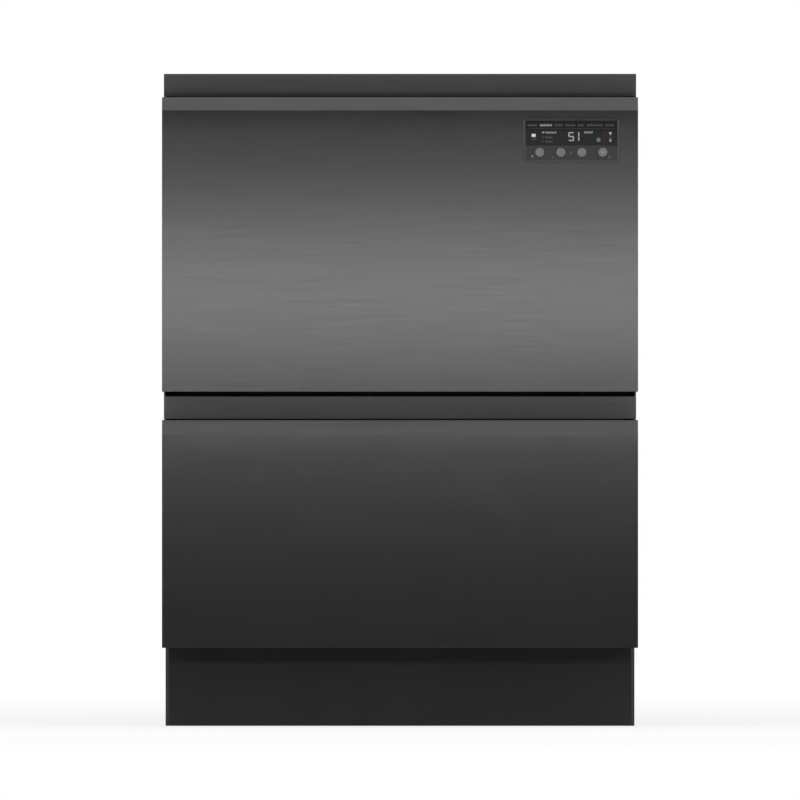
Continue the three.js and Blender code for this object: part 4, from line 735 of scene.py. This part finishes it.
def make_rack(drawer):
    """The net, rim and tines of one rack, in place of its plainer solids."""
    low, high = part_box(f"{drawer}_rack")
    half_x = high.x - WIRE - RIM_WIRE * SQUARE_CORNER
    half_y = high.y - WIRE - RIM_WIRE * SQUARE_CORNER
    top = high.z - RIM_WIRE * SQUARE_CORNER
    floor = low.z - FOOT_GAP + RACK_RISE
    raised = floor + WIRE_STACK
    body = f"{drawer}_drawer"
    reach_x, reach_y = half_x - WIRE_ROOM, half_y - WIRE_ROOM
    floor_x, floor_y = half_x - RACK_LEAN, half_y - RACK_LEAN
    crosswise = [[(-half_x, y, top), (-floor_x, y, floor), (floor_x, y, floor), (half_x, y, top)]
                 for y in spread(CROSSWISE, reach_y)]
    lengthwise = [[(x, -half_y, top), (x, -floor_y, raised), (x, floor_y, raised), (x, half_y, top)]
                  for x in spread(LENGTHWISE, reach_x)]
    bent = [rounded(corners, RACK_BEND) for corners in crosswise + lengthwise]
    legs = [[(x, y, low.z), (x, y, raised)] for x in (-reach_x, reach_x) for y in (-LEG_Y, LEG_Y)]
    net = wire_piece(f"{drawer}_rack_net", bent + legs, WIRE, body)
    rim_x, rim_y = half_x + WIRE, half_y + WIRE
    corners = [(0, -rim_y, top), (rim_x, -rim_y, top), (rim_x, rim_y, top), (-rim_x, rim_y, top),
               (-rim_x, -rim_y, top), (-WIRE, -rim_y, top)]
    rim = wire_piece(f"{drawer}_rack_rim", [rounded(corners, RACK_BEND)], RIM_WIRE, body, closed=True)
    # The tine rows stand on the right two thirds of the floor, half a pitch off the posts of the eyes.
    first, last = -reach_x / 3, reach_x
    pitch = (last - first) / TINE_PITCHES
    columns = [first + (i - 0.5) * pitch for i in range(TINE_PITCHES + 1)]

    # The tines of one row, and the bar that carries them.
    def tine_paths(y, z):
        return [[(x, y, z), (x, y, z + TINE_HEIGHT / 2), (x, y, z + TINE_HEIGHT)] for x in columns]

    def bar_path(y, z):
        return [(first - pitch, y, z), (last + pitch / 4, y, z)]

    fixed = [path for y in FIXED_TINES_Y for path in tine_paths(y, raised + MM)]
    fixed_tines = wire_piece(f"{drawer}_rack_tines", fixed, TINE_WIRE, body, tips=True)
    bars = wire_piece(f"{drawer}_rack_bars", [bar_path(y, raised + MM) for y in FIXED_TINES_Y], TINE_WIRE, body)
    pivot = floor + TINE_LIFT
    turns = [2 * math.pi * i / EYE_TURNS for i in range(EYE_TURNS)]
    eyes = [[(x, FOLD_Y + EYE_RADIUS * math.cos(t), pivot + EYE_RADIUS * math.sin(t)) for t in turns]
            for x in (first, last)]
    eye_rings = wire_piece(f"{drawer}_rack_eyes", eyes, EYE_WIRE, body, closed=True)
    posts = [[(x, FOLD_Y, raised), (x, FOLD_Y, pivot - EYE_RADIUS)] for x in (first, last)]
    eye_posts = wire_piece(f"{drawer}_rack_eye_posts", posts, POST_WIRE, body)
    for piece in (net, rim, fixed_tines, bars, eye_rings, eye_posts):
        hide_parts(f"{drawer}_rack")
    body = f"{drawer}_tines"
    fold_tines = wire_piece(f"{drawer}_fold_tines", tine_paths(FOLD_Y, pivot), TINE_WIRE, body, tips=True)
    fold_bar = wire_piece(f"{drawer}_fold_bar", [bar_path(FOLD_Y, pivot)], TINE_WIRE, body)
    for piece in (fold_tines, fold_bar):
        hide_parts(f"{drawer}_folding_tines")


for drawer in ("lower", "upper"):
    make_rack(drawer)


# ---------------------------------------------------------------- screw feet

# Radius and height of each ring, in millimetres above the floor.
PAD_PROFILE = ((0.0, 0.0), (18.8, 0.0), (20.2, 0.4), (20.9, 1.4), (20.9, 3.4), (20.3, 4.3), (18.6, 5.0),
               (10.2, 7.6), (9.2, 8.2), (0.0, 8.2))
NUT_PROFILE = ((0.0, 8.3), (8.4, 8.3), (9.4, 8.8), (9.4, 10.8), (8.4, 11.4), (0.0, 11.4))
THREAD_BOTTOM = 11.5
THREAD_CREST = 4.9
THREAD_ROOT = 4.3
THREAD_PITCH = 1.75
PAD_STEPS = 48
NUT_STEPS = 6
THREAD_STEPS = 24
TURNED_SHARP_ANGLE = math.radians(28)


def turned_piece(name, profile, steps, center, slot, body):
    """A closed form turned round a vertical axis; few steps give a nut."""
    mesh = bmesh.new()
    rings = []
    for radius, z in profile:
        if radius == 0.0:
            rings.append([mesh.verts.new((center.x, center.y, z * MM))])
            continue
        reach = radius * MM
        turns = (2 * math.pi * i / steps for i in range(steps))
        rings.append([mesh.verts.new((center.x + reach * math.cos(t), center.y + reach * math.sin(t), z * MM))
                      for t in turns])
    for below, above in zip(rings, rings[1:]):
        for i in range(steps):
            j = (i + 1) % steps
            corners = [below[i % len(below)], below[j % len(below)], above[j % len(above)], above[i % len(above)]]
            mesh.faces.new(list(dict.fromkeys(corners)))
    bmesh.ops.recalc_face_normals(mesh, faces=mesh.faces)
    data = bpy.data.meshes.new(name)
    mesh.to_mesh(data)
    mesh.free()
    data.shade_smooth()
    data.set_sharp_from_angle(angle=TURNED_SHARP_ANGLE)
    data.materials.append(MATERIALS[slot])
    piece = bpy.data.objects.new(name, data)
    bpy.context.scene.collection.objects.link(piece)
    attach(piece, body)
    return piece


def make_foot(name):
    """Rubber pad, nut and threaded stem of one foot."""
    low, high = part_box(name)
    center = (low + high) / 2
    thread = [(0.0, THREAD_BOTTOM)]
    z = THREAD_BOTTOM
    while z < high.z / MM - THREAD_PITCH:
        thread += [(THREAD_ROOT, z), (THREAD_CREST, z + THREAD_PITCH / 2)]
        z += THREAD_PITCH
    thread += [(THREAD_ROOT, z), (0.0, z)]
    pad = turned_piece(f"{name}_pad", PAD_PROFILE, PAD_STEPS, center, "black_plastic", name)
    nut = turned_piece(f"{name}_nut", NUT_PROFILE, NUT_STEPS, center, "zinc_steel", name)
    stem = turned_piece(f"{name}_thread", thread, THREAD_STEPS, center, "zinc_steel", name)
    for piece in (pad, nut, stem):
        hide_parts(name)


for end in ("front", "rear"):
    for side in ("left", "right"):
        make_foot(f"foot_{end}_{side}")


# ---------------------------------------------------------------- stage

def area_lamp(name, location, target, width, height, power):
    """A rectangular lamp that faces its target and that the camera doesn't see."""
    data = bpy.data.lights.new(name, "AREA")
    data.shape = "RECTANGLE"
    data.size = width
    data.size_y = height
    data.energy = power
    lamp = bpy.data.objects.new(name, data)
    bpy.context.scene.collection.objects.link(lamp)
    lamp.location = location
    direction = Vector(target) - Vector(location)
    lamp.rotation_euler = direction.to_track_quat("-Z", "Y").to_euler()
    lamp.visible_camera = False
    return lamp


def make_world():
    """White to the camera. Otherwise an even soft room, with a dark flag in front that the steel mirrors."""
    world = bpy.data.worlds.new("studio")
    bpy.context.scene.world = world
    world.use_nodes = True
    tree = world.node_tree
    tree.nodes.clear()
    rays = tree.nodes.new("ShaderNodeLightPath")
    direction = tree.nodes.new("ShaderNodeTexCoord")
    toward = tree.nodes.new("ShaderNodeVectorMath")
    toward.operation = "DOT_PRODUCT"
    toward.inputs[1].default_value = STRAIGHT_AHEAD
    tree.links.new(direction.outputs["Generated"], toward.inputs[0])
    level = ranged(tree, toward.outputs["Value"], FLAG_OUTER, FLAG_INNER, ROOM_LEVEL, FLAG_LEVEL)
    lit = tree.nodes.new("ShaderNodeBackground")
    tree.links.new(level, lit.inputs["Strength"])
    seen = tree.nodes.new("ShaderNodeBackground")
    for background in (lit, seen):
        background.inputs["Color"].default_value = WHITE
    mix = tree.nodes.new("ShaderNodeMixShader")
    tree.links.new(rays.outputs["Is Camera Ray"], mix.inputs[0])
    tree.links.new(lit.outputs[0], mix.inputs[1])
    tree.links.new(seen.outputs[0], mix.inputs[2])
    out = tree.nodes.new("ShaderNodeOutputWorld")
    tree.links.new(mix.outputs[0], out.inputs["Surface"])


def front_mat(tree):
    """The share of the mat on the floor in front of the machine, and how far off it is there, from 0 to 1."""
    place = axes(tree, "Object")
    ahead = ranged(tree, place["Y"], FACE_Y + MAT_EDGE, FACE_Y - MAT_EDGE)
    aside = math_node(tree, "ABSOLUTE", place["X"])
    aside = math_node(tree, "ADD", aside, math_node(tree, "MULTIPLY", place["Y"], MAT_SPREAD))
    middle = ranged(tree, aside, *MAT_HALF_WIDTH, 1.0, 0.0)
    far = ranged(tree, place["Y"], *(FACE_Y - reach for reach in MAT_FADE))
    return math_node(tree, "MULTIPLY", ahead, middle), far


def floor_material():
    """Almost white to the camera, with the machine's soft shadow, and the dark mat in front to mirrored rays."""
    material, tree = new_tree("floor_white")
    rays = tree.nodes.new("ShaderNodeLightPath")
    white = (FLOOR_TONE,) * 3
    share, far = front_mat(tree)
    tone = blended(tree, math_node(tree, "MULTIPLY", rays.outputs["Is Glossy Ray"], share), white, white)
    tree.links.new(blended(tree, far, (MAT_NEAR,) * 3, (MAT_FAR,) * 3), tone.node.inputs["B"])
    matt = tree.nodes.new("ShaderNodeBsdfDiffuse")
    tree.links.new(tone, matt.inputs["Color"])
    glow = add(tree, "ShaderNodeEmission", Color=WHITE, Strength=1.0)
    where = tree.nodes.new("ShaderNodeTexCoord")
    reach = tree.nodes.new("ShaderNodeVectorMath")
    reach.operation = "LENGTH"
    tree.links.new(where.outputs["Object"], reach.inputs[0])
    white_share = ranged(tree, reach.outputs["Value"], *FLOOR_FADE, FLOOR_WHITE, 1.0)
    mix = tree.nodes.new("ShaderNodeMixShader")
    tree.links.new(math_node(tree, "MULTIPLY", rays.outputs["Is Camera Ray"], white_share), mix.inputs[0])
    tree.links.new(matt.outputs[0], mix.inputs[1])
    tree.links.new(glow.outputs[0], mix.inputs[2])
    finish_tree(tree, mix.outputs[0])
    return material


def make_floor():
    half = FLOOR_HALF
    mesh = bpy.data.meshes.new("floor")
    mesh.from_pydata(
        [(-half, -half, 0.0), (half, -half, 0.0), (half, half, 0.0), (-half, half, 0.0)], [], [(0, 1, 2, 3)])
    mesh.materials.append(floor_material())
    floor = bpy.data.objects.new("floor", mesh)
    floor.location.z = -FLOOR_DROP
    bpy.context.scene.collection.objects.link(floor)


def strip_light(name, height, depth, tall, level):
    """A wide low lamp in front that the brushed steel smears into its soft vertical gradient."""
    power = level * math.pi * STRIP_WIDTH * tall
    area_lamp(name, (0.0, FACE_Y - depth, height), (0.0, 0.0, height), STRIP_WIDTH, tall, power)


def fill_light(name, location, target, width, height, power):
    """A soft box that lights matt surfaces but isn't mirrored in the steel."""
    lamp = area_lamp(name, location, target, width, height, power)
    lamp.visible_glossy = False


make_world()
make_floor()
for lamp_values in STRIP_LIGHTS:
    strip_light(*lamp_values)
for lamp_values in FILL_LIGHTS:
    fill_light(*lamp_values)
